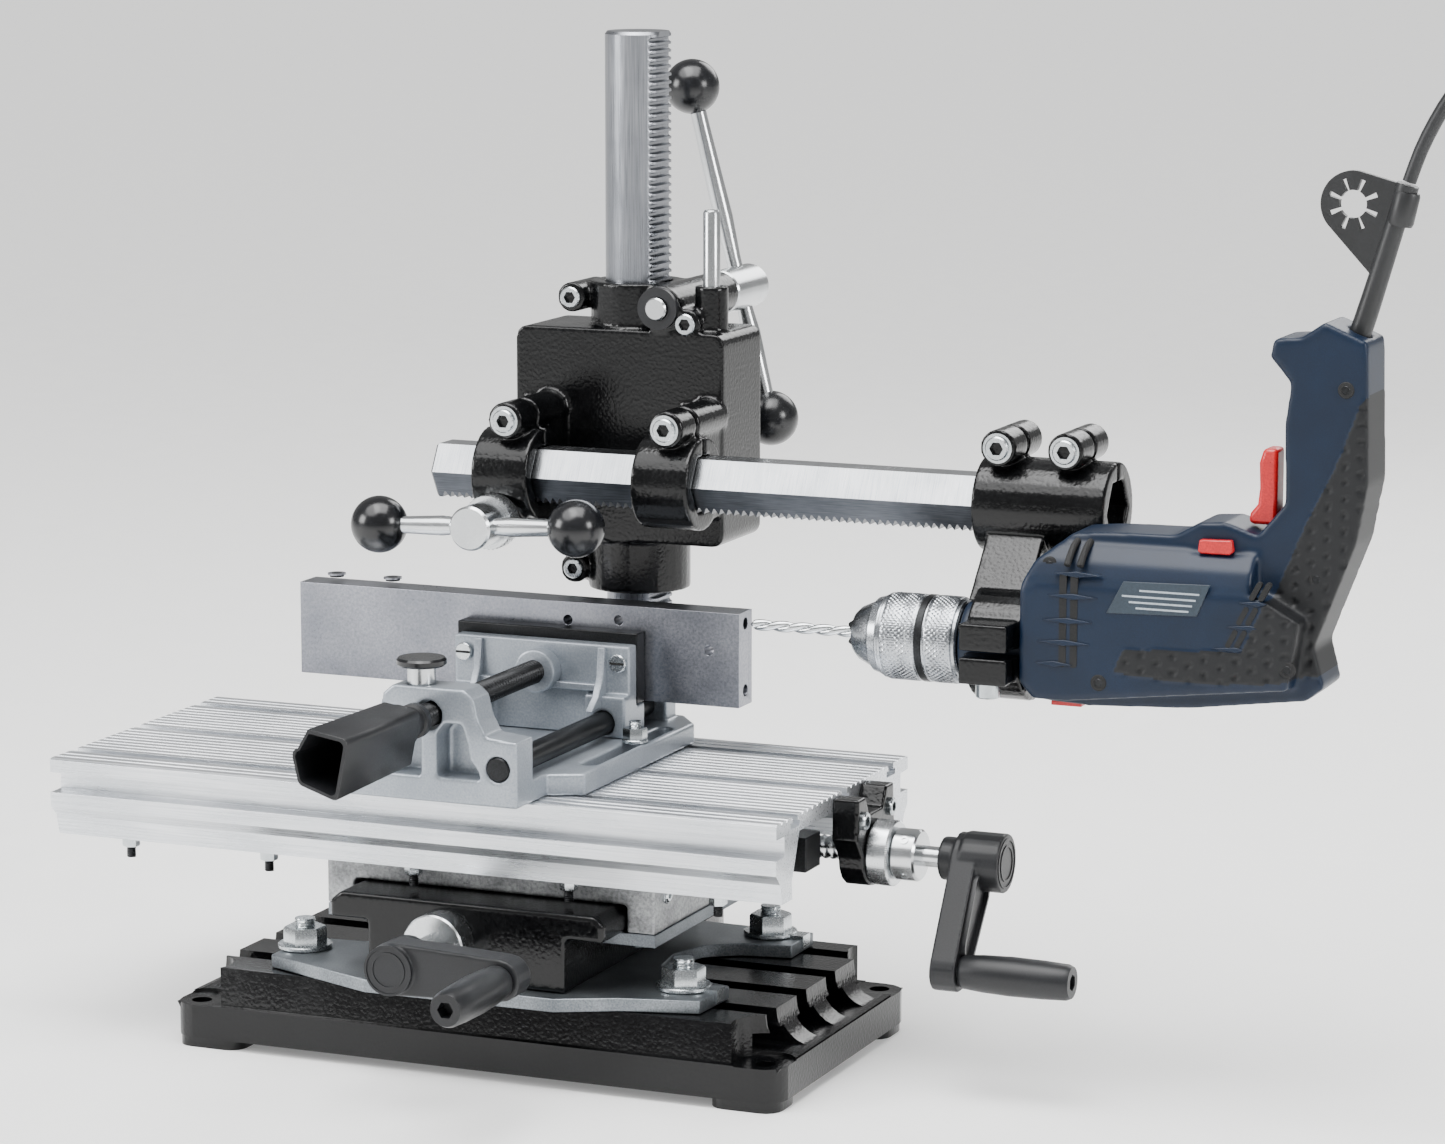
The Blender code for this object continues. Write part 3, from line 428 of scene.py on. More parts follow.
# ---------------------------------------------------------------- stand
def stand():
    """Slotted base, column with its rack, plate, bolts and box way."""
    machined("base_plate", "stand", ENAMEL, 1.4)
    cast("column_foot", "stand", ENAMEL, 1.0)
    cast("cross_slide_base", "stand", ENAMEL, 1.2, 3)
    machined("mounting_plate", "stand", PLATE, 0.6)
    column()
    bolts = (("front_left", -124, -62.5), ("front_right", 118, -62.5), ("back_right", 116, 72.5))
    for place, x, y in bolts:
        name = "plate_bolt_" + place
        spot = (x, y, 0)
        shells = [
            disc("Z", spot, 16, 56.8, 59.4, 0.5),
            nut("Z", spot, 22, 59.4, 69.5),
            thread("Z", spot, 6.2, 1.8, 0.7, 69, 74.5),
        ]
        if x > 0:
            shells.append(box((x + 13.5, x + 23), (y - 5.5, y + 5.5), (51, 58.5)))
        piece(name + "_zinc", "stand", ZINC, shells, (name,))


def column():
    """Round bar whose right side is milled flat and cut with rack teeth.

    x(t, z) = the smaller of r cos t and the tooth face, a trapezoid wave of z between root and crest.
    """
    root, crest, untoothed = 13.2, 17.0, 99.0
    foot, top, bar_radius, eased_radius = 48.8, 585, 20.0, 18.6
    z = np.arange(112, 580, RACK_PITCH)
    levels = (z[:, None] + RACK_PITCH * np.array([0.0, 0.2, 0.5, 0.7])).ravel()
    wall = np.tile([crest, root, root, crest], len(z)).astype(float)
    levels = np.concatenate([[foot, foot, 110, 111.5], levels, [top - 1.8, top, top]])
    wall = np.concatenate([[untoothed, untoothed, untoothed, crest], wall, [crest, crest, crest]])
    radius = np.full(len(levels), bar_radius)
    radius[-2] = eased_radius
    radius[0] = radius[-1] = 0.0
    t = np.linspace(0, 2 * pi, 96, endpoint=False)
    points = np.zeros((len(levels), 96, 3))
    points[..., 0] = COLUMN_AXIS[0] + np.minimum(radius[:, None] * np.cos(t), wall[:, None])
    points[..., 1] = COLUMN_AXIS[1] + radius[:, None] * np.sin(t)
    points[..., 2] = levels[:, None]
    piece("column_with_rack", "stand", GROUND_Z, [grid(points, caps=True)], ("column",))


# ---------------------------------------------------------------- cranks
CRANK_THROW = 67


def dial(name, axis, centre, low, high, body, node):
    """A turned ring with a hundred grooves on its rim, over the far part of its height."""
    divisions, groove = 100, 0.018

    def marks(t, h):
        fine = (np.abs((t * divisions / (2 * pi)) % 1.0 - 0.5) > 0.34) & (h > low + (high - low) * 0.45)
        return 1 - groove * fine

    profile = [(0, low), (18.2, low), (19, low + 1), (19, low + 5), (19, high - 1), (18.2, high), (0, high)]
    piece(name, body, TURNED_ALUMINIUM, [lathe(axis, centre, profile, 200, marks)], (node,))


def cross_feed():
    """Front crank: screw, dial, arm and grip."""
    x, z = CROSS_SCREW_AXIS
    spot = (x, 0, z)
    shells = [thread("Y", spot, 8, 4.6, 1.1, -102, 84), disc("Y", spot, 8, -147.7, -100)]
    piece("cross_screw_thread", "cross_screw", TURNED, shells, ("cross_screw",))
    dial("cross_dial_ring", "Y", spot, -121, -103.6, "cross_screw", "cross_dial")
    crank("cross", "Y", spot, (x + CRANK_THROW, 0, z), -176, -173.6, -240)


def long_feed():
    """Right-hand crank: screw, collar with four set screws, dial, arm and grip."""
    y, z = LONG_SCREW_AXIS
    spot = (0, y, z)
    lean = -radians(125)
    shells = [
        thread("X", spot, 7, 4.6, 1.0, -150, 192),
        disc("X", spot, 7, 190, 222),
        disc("X", spot, 15, 219.3, 234, 1.2),
        disc("X", spot, 6, 232, 247),
    ]
    for k in range(4):
        a = pi / 4 + k * pi / 2
        foot = (227.0, y + 12 * cos(a), z + 12 * sin(a))
        tip = (227.0, y + 15.4 * cos(a), z + 15.4 * sin(a))
        shells.append(bar(foot, tip, [(0, 0), (2.6, 0), (2.6, 1), (1.4, 1), (1.4, 0.4), (0, 0.4)], 12))
    piece("long_screw_thread", "long_screw", TURNED, shells, ("long_screw",))
    dial("long_dial_ring", "X", spot, 206.3, 219, "long_screw", "long_dial")
    end = (0, y + CRANK_THROW * cos(lean), z + CRANK_THROW * sin(lean))
    crank("long", "X", spot, end, 285, 272.6, 338)


def crank(side, axis, hub, end, face, low, high):
    """A moulded crank arm with a raised rim round its hollow, and a grip turned between low and high.

    The rim is a flat ring between two loops, each of two end arcs and the flanks between them.
    """
    body = side + "_screw"
    out = 1 if high > low else -1
    cast(side + "_crank_arm", body, NYLON, 0.8, 3)
    u, v, along = PLANES["XZ" if axis == "Y" else "YZ"]
    lean = atan2(end[v] - hub[v], end[u] - hub[u])
    reach = hypot(end[u] - hub[u], end[v] - hub[v])
    web = sorted((face - 13 * out, face - 11.2 * out))
    web[1] += 0.9 * out

    def loop(grow):
        line = np.array(arc(19, 0, 11.2 + grow, 100, 260, 10) + arc(reach - 15, 0, 8.2 + grow, -80, 80, 10))
        return line @ np.array([[cos(lean), sin(lean)], [-sin(lean), cos(lean)]])

    outer, inner = loop(1.4), loop(-0.6)
    ring = np.zeros((4, len(outer), 3))
    ring[:, :, (u, v)] = [outer, outer, inner, inner]
    ring[:, :, (u, v)] += (hub[u], hub[v])
    ring[:, :, along] = np.array([web[0], web[1], web[1], web[0]])[:, None]
    shells = [grid(ring, wrap_u=True)]
    for radius in (14.5, 10.5):
        shells.append(collar(axis, hub, radius, radius - 1.3, *sorted((face - 0.4 * out, face + 0.5 * out))))
    piece(side + "_crank_rims", body, NYLON, shells)
    if side == "long":
        piece("long_grip_nut", "long_grip", ZINC, [nut("X", end, 11, 270.5, 277.5)])
    span = high - low
    profile = [(0, low), (8.6, low), (9.6, low + 0.03 * span), (10.6, low + 0.2 * span),
               (11.2, low + 0.45 * span), (10.9, low + 0.75 * span), (10.2, low + 0.96 * span), (9.0, high),
               (4.2, high), (4.2, high - 0.12 * span), (0, high - 0.12 * span)]

    def socket(t, h):
        ring = np.arange(len(profile))[:, None]
        return np.where((ring == 8) | (ring == 9), hex_wave(t, 0 * h), 1.0)

    shells = [lathe(axis, end, profile, 48, socket)]
    piece(side + "_grip_turned", side + "_grip", NYLON, shells, (side + "_crank_grip",))


# ---------------------------------------------------------------- saddle and table
def saddle():
    """Rough saddle, retaining plates and their screws, and the two nuts."""
    cast("saddle", "saddle", CAST, 1.1, 3)
    for side, sign in SIDES:
        machined("saddle_retainer_" + side, "saddle", PLATE, 0.5)
        heads = [nut("Z", (sign * 86, y, 0), 10, 75.5, 80.2, -1) for y in (-52, -18, 16, 50)]
        for y in (-55, -24, 7, 38, 66):
            heads.append(cap_screw("X", (0, y, 108), 4.2, sign * 103, sign * 106.5))
            heads.append(nut("X", (0, y, 108), 9.5, *sorted((sign * 103.5, sign * 105))))
        piece("retainer_screws_" + side, "saddle", ZINC, heads)
    finish_node("cross_feed_nut", OXIDE)
    finish_node("long_feed_nut", OXIDE)


def table_profile():
    """The extrusion's outline in YZ: shallow ridges on top, T-slots, lipped side rails, open below."""
    ridge_width, groove_floor, lip, slot_floor = 7.4, TABLE_TOP - 1.4, TABLE_TOP - 3.5, TABLE_TOP - 7
    slots = (-72.0, 2.5, 77.0)
    spans = ((-99, -76), (-68, -1.5), (6.5, 73), (81, 104))
    outline = []
    for k, (low, high) in enumerate(spans):
        count = max(3, round((high - low) / ridge_width))
        ridge = (high - low) / count
        for n in range(count):
            y = low + n * ridge
            outline += [(y + 0.6, TABLE_TOP), (y + ridge - 2.0, TABLE_TOP), (y + ridge - 1.4, groove_floor),
                        (y + ridge - 0.2, groove_floor)]
        if k < len(slots):
            y = slots[k]
            outline += [(y - 4, TABLE_TOP), (y - 4, lip), (y - 7, lip), (y - 7, slot_floor),
                        (y + 7, slot_floor), (y + 7, lip), (y + 4, lip), (y + 4, TABLE_TOP)]
    rail = [(105, 164), (105, 156.5), (93, 156.2), (93, 144.8), (105, 144.5), (105, 136), (99, 130),
            (96, 118), (81, 118), (82, 128), (77, 140), (71, 155)]
    mirrored = [(5 - y, z) for y, z in reversed(rail)]
    return outline + rail + mirrored


def table():
    """Table extrusion, rail under its front, bearing bracket and the screws below the front rail."""
    shells = [prism("YZ", table_profile(), -272, 190)]
    piece("table_extrusion", "table", EXTRUDED, shells, ("table",), ease=0.35, crease=25)
    machined("guide_bar", "table", OXIDE, 0.6)
    cast("end_bearing", "table", ENAMEL, 0.8, 3)
    nuts = []
    studs = []
    for x in (-228, -136, -42, 56, 148):
        spot = (x, -83, 0)
        nuts.append(nut("Z", spot, 9, 112.5, 118.2, -1))
        studs.append(thread("Z", spot, 2.9, 1.3, 0.5, 106, 113, 16))
    piece("rail_nuts", "table", ZINC, nuts)
    piece("rail_set_screws", "table", OXIDE, studs)
    screws = [cap_screw("X", (0, y, 150), 5.2, 205, 208.5) for y in (-8, 34)]
    piece("bearing_screws", "table", ZINC, screws)


# ---------------------------------------------------------------- vise
def vise():
    """Die-cast vise with black rods, screw, jaw plates and hollow handle."""
    cast("vise_body", "table", SILVER, 0.95, 3)
    cast("moving_jaw", "vise_jaw", SILVER, 0.8, 3)
    x = VISE_X
    ribs = []
    outline = [(8, 196), (29.8, 196), (29.8, 231), (26.5, 231), (24, 214), (18, 203)]
    for foot in (x - 40, x + 40):
        ribs.append(prism("YZ", outline, foot - 2.2, foot + 2.2))
    ribs.append(prism("XZ", [(x - 40, 205), (x + 40, 205), (x + 40, 209), (x - 40, 209)], 25, 29.8))
    ribs.append(disc("Y", (x, 0, 215), 13, 19, 30, 0.8))
    piece("jaw_ribs", "vise_jaw", SILVER, ribs, ease=0.8)
    screws = (x - 50, x + 50)
    piece("jaw_screws", "vise_jaw", ZINC,
          [disc("Y", (place, 0, 222), 5.4, 26.6, 29.8) for place in screws])
    # The screw slots are thin black boxes: painted shade in place of the slots' depth
    piece("jaw_screw_slots", "vise_jaw", SHADOW,
          [box((place - 4.6, place + 4.6), (26.4, 26.9), (221.3, 222.7)) for place in screws])
    for name, body in (("fixed_jaw_plate", "table"), ("moving_jaw_plate", "vise_jaw")):
        machined(name, body, OXIDE, 0.7)
    for side, sign in SIDES:
        rod = "vise_rod_" + side
        piece(rod + "_turned", "table", OXIDE,
              [disc("Y", (x + sign * 43, 0, 187), 7, -120.9, 82.6, 0.8)], (rod,))
        bolt = "vise_bolt_" + side
        spot = (x + sign * 65.5, 18, 0)
        piece(bolt + "_zinc", "table", ZINC,
              [disc("Z", spot, 7.7, 178.2, 180.4, 0.4), nut("Z", spot, 12.5, 180.4, 187),
               thread("Z", spot, 3.6, 1.4, 0.5, 186.5, 191, 20)], (bolt,))
    spot = (x, 0, 215)
    shells = [thread("Y", spot, 7.2, 3.4, 1.3, -134, 20), disc("Y", spot, 5.5, 18, 28)]
    piece("vise_screw_thread", "vise_screw", OXIDE, shells, ("vise_screw",))
    handle(spot)
    spot = (x - 9, -110, 0)
    cap = [(13, 241), (14.3, 242.2), (14.3, 244.5), (13.2, 245.8), (0, 246)]
    piece("release_button_cap", "release_button", PHENOLIC, [lathe("Z", spot, cap)])
    barrel = [(0, 229.5), (8, 229.5), (8, 240), (7, 241.2), (0, 241.2)]
    piece("release_button_barrel", "release_button", TURNED, [lathe("Z", spot, barrel)],
          ("release_button",))


def handle(spot):
    """Hollow handle: one outline of five arcs carried out along Y, over the lip and back inside.

    Every ring is the outline drawn in towards its middle: p = middle + scale (outline - middle).
    """
    arcs = ((-13, 1, 100, 190, 4), (-10, -12, 190, 250, 4), (8, -18, 250, 320, 4), (13, 9, -20, 70, 4),
            (-6, 12, 80, 110, 3))
    outline = np.concatenate([arc(u, v, 4, start, end, steps) for u, v, start, end, steps in arcs])
    middle = outline.mean(axis=0)
    levels = np.array([-160.5, -162, -250, -251, -251, -249, -196])
    scale = np.array([0.86, 0.92, 1.0, 0.97, 0.86, 0.83, 0.78])
    flat = middle + (outline - middle) * scale[:, None, None]
    points = np.zeros((len(levels), len(outline), 3))
    points[..., 0] = spot[0] + flat[..., 0]
    points[..., 1] = levels[:, None]
    points[..., 2] = spot[2] + flat[..., 1]
    neck = lathe("Y", spot, [(0, -134.3), (9, -134.3), (10, -136), (10, -141), (8.5, -142), (8.5, -146),
                             (13, -158), (13.5, -166), (0, -166)], 40)
    piece("vise_handle_moulded", "vise_screw", NYLON, [grid(points, caps=True), neck],
          ("vise_handle",), crease=50)


def workpiece():
    """Ground bar: the node's own solid with crisp edges, and two bores with rims in its top edge, drawn as
    discs of painted shade.
    """
    machined("workpiece_bar", "table", WIPED, 0.35)
    spots = [(x, 62, 0) for x in (-165, -127)]
    # The bores are black discs at the top face: painted shade in place of the holes' depth
    piece("workpiece_bores", "table", SHADOW,
          [disc("Z", spot, 4.4, 255, 257.05, 0.05, 32) for spot in spots])
    piece("workpiece_bore_rims", "table", WIPED,
          [collar("Z", spot, 5.6, 3.2, 256.2, 257.2) for spot in spots])


# ---------------------------------------------------------------- head
def head():
    """Head casting with its clamp screws, caps, pin and the two lever drives."""
    cast("head_casting", "head", ENAMEL, 1.05, 4)
    screws = []
    for x in (-40, 63):
        spot = (x, 0, 360)
        screws.append(cap_screw("Y", spot, 6.9, 44, 35.2))
        screws.append(collar("Y", spot, 8.8, 6.9, 37.2, 38.6))
    screws.append(cap_screw("Y", (48, 0, 414), 6.4, 108, 101.6))
    screws.append(cap_screw("Y", (-31, 0, 426), 6.4, 116, 110.6))
    screws.append(cap_screw("Y", (-30, 0, 261), 6.0, 116, 110.6))
    piece("head_clamp_screws", "head", ZINC, screws)
    pin = [(0, 415.3), (5.1, 415.3), (5.1, 479.6), (4.2, 481), (0, 481)]
    piece("clamp_pin_turned", "clamp_pin", TURNED, [lathe("Z", (58, 120, 0), pin)],
          ("clamp_pin",))
    bush = collar("Y", (LIFT_AXIS[0], 0, LIFT_AXIS[1]), 12.6, 7.2, 100, 103.6)
    piece("lift_bush", "head", NYLON, [bush])
    hub = [(0, 243), (12.6, 243), (13.5, 242), (13.5, 196), (12.7, 195), (8.6, 195), (8.6, 110), (6.8, 110),
           (6.8, 98), (6, 97), (0, 97)]
    lever("lift", LIFT_AXIS, hub, 228, radians(104.6), (83, 127))
    hub = [(0, 88), (8.6, 88), (8.6, 35), (13.2, 35), (13.2, 0.5), (12, -1), (0, -1)]
    lever("feed", FEED_AXIS, hub, 10, radians(2.4), (64, 64))
    ring = knurl("Y", (FEED_AXIS[0], 0, FEED_AXIS[1]), 16.5, 24, 35.6)
    piece("feed_knurled_ring", "feed_lever", TURNED_ALUMINIUM, [ring])


def lever(name, axis, hub, plane_y, angle, reaches):
    """A hub turned about Y, with a tapered cross bar at plane_y and a polished ball on each end."""
    x, z = axis
    body = name + "_lever"
    middle = (x, plane_y, z)
    ends = []
    for reach, turn in zip(reaches, (angle + pi, angle)):
        ends.append((x + reach * cos(turn), plane_y, z + reach * sin(turn)))
    piece(name + "_hub_turned", body, TURNED, [lathe("Y", middle, hub, 64)],
          (name + "_shaft",))
    taper = [(0, 0), (4.8, 0), (4.8, 0.15), (6.0, 0.35), (5.0, 0.8), (5.0, 0.87), (0, 0.87)]
    piece(name + "_bar_turned", body, TURNED, [bar(middle, end, taper) for end in ends],
          (name + "_rod",))
    for tag, end in zip(("near", "far"), ends):
        piece(f"{name}_ball_{tag}_polished", body, PHENOLIC, [ball(end, 17)],
              (f"{name}_ball_{tag}",), crease=60)


# ---------------------------------------------------------------- arm and drill
def rack_bar():
    """Hexagon bar whose underside is cut with pointed teeth.

    The hexagon is trimmed at z(x) = its lowest flat + a triangle wave of x, and where the cut is
    deeper the bottom corners climb the slanted flats. Its downward faces get a darker steel: painted shade.
    """
    depth, half, flat = 3.6, 18.475, 16.0
    x = np.arange(-88, 262, RACK_PITCH)
    levels = (x[:, None] + RACK_PITCH * np.array([0.0, 0.42, 0.58])).ravel()
    cut = np.tile([0.0, depth, depth], len(x))
    levels = np.concatenate([[-92, -90.5], levels, [262, 318.5, 320]])
    cut = np.concatenate([[0, 0], cut, [0, 0, 0]])
    size = np.ones(len(levels))
    size[[0, -1]] = 0.92
    y = np.stack([half / 2 + 0.577 * cut, half + 0 * cut, half / 2 + 0 * cut], axis=1)
    z = np.stack([-flat + cut, 0 * cut, flat + 0 * cut], axis=1)
    points = np.zeros((len(levels), 6, 3))
    points[..., 0] = levels[:, None]
    points[..., 1] = HEX_BAR_AXIS[0] + size[:, None] * np.concatenate([y, -y[:, ::-1]], axis=1)
    points[..., 2] = HEX_BAR_AXIS[1] + size[:, None] * np.concatenate([z, z[:, ::-1]], axis=1)
    rack = piece("hex_bar_with_rack", "arm", GROUND_X, [grid(points, caps=True)],
                 ("hex_bar",), crease=20)
    # Faces that point downwards get the darker steel: painted shade under the bar
    rack.data.materials.append(SHADED_UNDERSIDE_STEEL)
    normal = np.empty(3 * len(rack.data.polygons))
    rack.data.polygons.foreach_get("normal", normal)
    lower = normal.reshape(-1, 3)[:, 2] < -0.2
    rack.data.polygons.foreach_set("material_index", lower.astype(np.int32))


def holder():
    """Split tool holder casting with its clamp screws."""
    cast("tool_holder", "arm", ENAMEL, 0.9, 4)
    screws = []
    for x in (268, 308):
        spot = (x, 0, 361)
        screws.append(cap_screw("Y", spot, 6.9, 44, 35.2))
        screws.append(collar("Y", spot, 8.6, 6.9, 37.2, 38.6))
    screws.append(cap_screw("Z", (284, -19, 0), 7, 238, 229.5))
    piece("holder_screws", "arm", ZINC, screws)


def inside(points, outline):
    """Even-odd test of 2-D points against an outline."""
    x, y = points.T
    result = np.zeros(len(points), bool)
    for (ax, ay), (bx, by) in zip(outline, np.roll(outline, -1, axis=0)):
        crosses = (ay > y) != (by > y)
        reach = ax + (y - ay) * (bx - ax) / np.where(by == ay, 1e-9, by - ay)
        result ^= crosses & (x < reach)
    return result


def drill_colours():
    """Two shots of moulding in one skin: blue ABS, and black rubber where the attribute grip is 1."""
    material = finish("ABS, moulded blue, with rubber overmould", "#0a1b30", "#061425", (0.34, 0.44),
                      grain=0.6, depth=0.02, specular=0.3)
    tree = material.node_tree
    shader = tree.nodes["Principled BSDF"]
    paint = shader.inputs["Base Color"].links[0].from_socket
    mask = add(tree, "ShaderNodeAttribute", attribute_name="grip").outputs["Fac"]
    edge = add(tree, "ShaderNodeMapRange", {"Value": mask, "From Min": 0.45, "From Max": 0.55}).outputs[0]
    colour = add(tree, "ShaderNodeMix", {"Factor": edge}, data_type="RGBA")
    tree.links.new(paint, colour.inputs["A"])
    colour.inputs["B"].default_value = linear("#141517")
    tree.links.new(colour.outputs["Result"], shader.inputs["Base Color"])
    rough = add(tree, "ShaderNodeMapRange", {"Value": edge, "To Min": 0.4, "To Max": 0.5})
    tree.links.new(rough.outputs[0], shader.inputs["Roughness"])
    return material


GRIP_SIDE = [(500, 416), (489, 402), (478, 372), (460, 335), (444.6, 298), (430, 266), (363, 262.7),
             (357.5, 249.5), (396, 246.5), (440, 248.5), (470, 253), (474, 262), (510, 300), (515, 400)]


def drill():
    """Moulded housing: softened solid whose grip stands out by rise, less dimples on a staggered lattice."""
    mesh = remeshed(plain_copy("drill_housing"), 1.15, 16)
    count = len(mesh.vertices)
    flat = np.empty(count * 3)
    mesh.vertices.foreach_get("co", flat)
    co = flat.reshape(-1, 3) / UNIT + ORIGIN
    grip = inside(co[:, [0, 2]], np.array(GRIP_SIDE, float))
    rise, sunk, spacing = 0.7, 1.1, 9.0
    u = co[:, 0] / spacing
    v = co[:, 2] / spacing + 0.5 * (np.floor(u) % 2)
    dimple = np.hypot(u % 1.0 - 0.5, v % 1.0 - 0.5) < 0.2
    side = np.sign(co[:, 1] - SPINDLE_AXIS[0])
    co[:, 1] += np.where(grip, side * rise, 0.0)
    co[:, 1] -= np.where(grip & dimple, side * sunk, 0.0)
    mesh.vertices.foreach_set("co", ((co - ORIGIN) * UNIT).ravel())
    mark = mesh.attributes.new("grip", "FLOAT", "POINT")
    mark.data.foreach_set("value", grip.astype(np.float32))
    register("drill_housing_moulded", mesh, "arm", drill_colours(), ("drill_housing",),
             crease=70)
    drill_details()
    spindle()


def slot_bar(centre, length, width, lean, low, high):
    """A vent: a strip with round ends, turned by lean in XZ and carried along Y."""
    cx, cz = centre
    du, dv = cos(lean), sin(lean)
    ends = arc(length / 2, 0, width / 2, -90, 90, 6) + arc(-length / 2, 0, width / 2, 90, 270, 6)
    outline = [(cx + u * du - v * dv, cz + u * dv + v * du) for u, v in ends]
    return prism("XZ", outline, low, high)


def drill_details():
    """Vents and screw wells in black painted shade, slim ribs across the vents, a plain label, the trigger
    and the two sliders.
    """
    front, back = -21.0, 51.0
    vents = []
    ribs = []
    for y, out in ((front, -1), (back, 1)):
        face = sorted((y + 0.25 * out, y - 3 * out))
        for x in (327.8, 334.2):
            for z in (296, 283.4, 269.8, 257):
                vents.append(slot_bar((x, z), 9.6, 4.2, radians(90), *face))
        for x, z in ((427, 273), (433, 286), (440, 300)):
            for step in (-2.6, 2.6):
                vents.append(slot_bar((x + step, z), 8.4, 3.0, radians(62), *face))
        for z, low, high in ((302.6, 322, 350), (290.1, 319, 348), (276.4, 316, 345), (264, 313, 344),
                             (251.8, 312, 334)):
            mid, half = (low + high) / 2, (high - low) / 2
            taper = [(low, z), (mid, z - 1.7), (high, z), (mid, z + 1.7)]
            ribs.append(prism("XZ", taper, *sorted((y + 1.0 * out, y - 2 * out))))
        for z, low, high in ((293.2, 428, 444), (279.6, 421, 440), (267, 413, 432)):
            taper = [(low, z), (high - 5, z - 1.5), (high, z), (high - 5, z + 1.5)]
            ribs.append(prism("XZ", taper, *sorted((y + 0.8 * out, y - 2 * out))))
    for x in (330, 337.5):
        k = np.arange(6)
        height = 306 + 13.4 * np.sin(0.24 * k + 0.1)
        curve = np.stack([x + 0.2 * k, -20.9 + 2.4 * k + 0.12 * k * k, height], axis=1)
        vents.append(tube(curve, 2.0, 10))
    piece("drill_vent_ribs", "arm", drill_colours(), ribs, ease=0.5)
    # Vents are black bars and tubes at the surface: painted shade in place of the openings
    piece("drill_vents", "arm", SHADOW, vents)
    wells = []
    bolts = []
    for x, z, y in ((318, 306, -15.5), (349, 243, -21), (456, 258, -21), (467, 306, -5), (481, 410, -5)):
        wells.append(disc("Y", (x, 0, z), 4.6, y - 0.6, y + 2.5, 0.5, 24))
        bolts.append(disc("Y", (x, 0, z), 2.4, y - 0.9, y + 1, 0.3, 16))
    # Screw wells are black rings round the screws: painted shade of the recesses
    piece("drill_screw_wells", "arm", SHADOW, wells)
    piece("drill_screws", "arm", OXIDE, bolts)
    piece("drill_label", "arm", LABEL,
          [prism("XZ", [(362.6, 300.6), (412, 301.8), (404.7, 284), (353, 282.4)], -21.6, -20.5)], ease=0.3)
    lines = [box((start, start + length), (-21.75, -21.5), (z, z + 1.0))
             for z, start, length in ((295.6, 372, 34), (292.2, 362, 42), (289, 366, 36), (285.8, 370, 30))]
    piece("drill_label_print", "arm", PRINT, lines)
    trigger = [(440, 374), (432, 374), (429.5, 366), (430, 352), (429, 343), (425, 338), (424, 333),
               (427, 332), (440, 332)]
    piece("trigger_moulded", "trigger", RED, [prism("XZ", trigger, 7.5, 22.5)],
          ("drill_trigger",), ease=2.0, crease=60)
    slide = [(401, 318), (403, 317), (419, 317), (421, 318.5), (420, 325), (402, 324.5)]
    piece("direction_slider_moulded", "direction_slider", RED,
          [prism("XZ", slide, -10.2, -5.4)], ("direction_slider",), ease=0.8)
    machined("mode_selector", "mode_selector", RED, 0.6)


def spindle():
    """Keyless chuck: a stepped nose, two knurled sleeves with a black ring between, jaws and a fluted bit.

    The bit's radius is scaled by 0.4 + 0.6 |cos(t + 2 pi h / lead)| ^ 0.6.
    """
    y, z = SPINDLE_AXIS
    spot = (0, y, z)
    nose = [(0, 191.6), (7.5, 191.6), (9.5, 192.4), (12.5, 193.4), (15.5, 196.5), (19.4, 205), (21.4, 206.5),
            (22.6, 211), (23.2, 211.6), (23.2, 213), (0, 213)]
    shells = [
        lathe("X", spot, nose, 64),
        disc("X", spot, 24.3, 213, 215.4, 0.5, 64),
        knurl("X", spot, 25, 215.2, 234.4),
        disc("X", spot, 24.6, 234.2, 235.8, 0.4, 64),
        disc("X", spot, 24.6, 239.8, 241.4, 0.4, 64),
        knurl("X", spot, 25, 241.2, 257),
        disc("X", spot, 23, 256, 260, 1.0, 64),
    ]
    piece("chuck_sleeves", "spindle", CHUCK, shells, ("drill_chuck",), crease=25)
    piece("chuck_ring", "spindle", OXIDE, [disc("X", spot, 24.9, 235.6, 240, 0.5, 64)])
    jaws = []
    for k in range(3):
        a = k * 2 * pi / 3
        tip = (189.5, y + 4.8 * cos(a), z + 4.8 * sin(a))
        foot = (196, y + 8 * cos(a), z + 8 * sin(a))
        jaws.append(bar(tip, foot, [(0, 0), (2.0, 0), (3.0, 1), (0, 1)], 12))
    levels = np.linspace(129.5, 191, 160)
    lead = 26

    def flutes(t, h):
        turn = t + (h - 127) * 2 * pi / lead
        return 0.4 + 0.6 * np.abs(np.cos(turn)) ** 0.6

    profile = [(0, 126.6), *[(3.35, h) for h in levels], (0, 191.2)]
    piece("bit_fluted", "spindle", TURNED, [lathe("X", spot, profile, 40, flutes)],
          ("drill_bit",), crease=50)
    piece("chuck_jaws", "spindle", OXIDE, jaws)


# ---------------------------------------------------------------- cord
ROUTE = [
    (507.6, 15, 521.3), (513.4, 15, 537.8), (520.9, 15, 553.6), (529.9, 15, 568.6), (541, 15.5, 583),
    (552.1, 16, 591.7), (565.8, 16.5, 595.1), (579.7, 17, 592.6), (591.5, 17.5, 584.7), (598.5, 18, 573.8),
    (601, 18.5, 561.1), (601, 17.5, 520), (600.5, 14, 440), (599.5, 7, 330), (598.5, -1, 220),
    (598, -6.5, 130), (598, -7, 90), (598, -7, 62.4), (598, -4.4, 49.4), (598, 3, 38.4), (598, 14, 31),
    (598, 27, 28.4),
]
COIL_CENTRE = (648, 27)
COIL_REACH = 50
CORD_RADIUS = 3.9


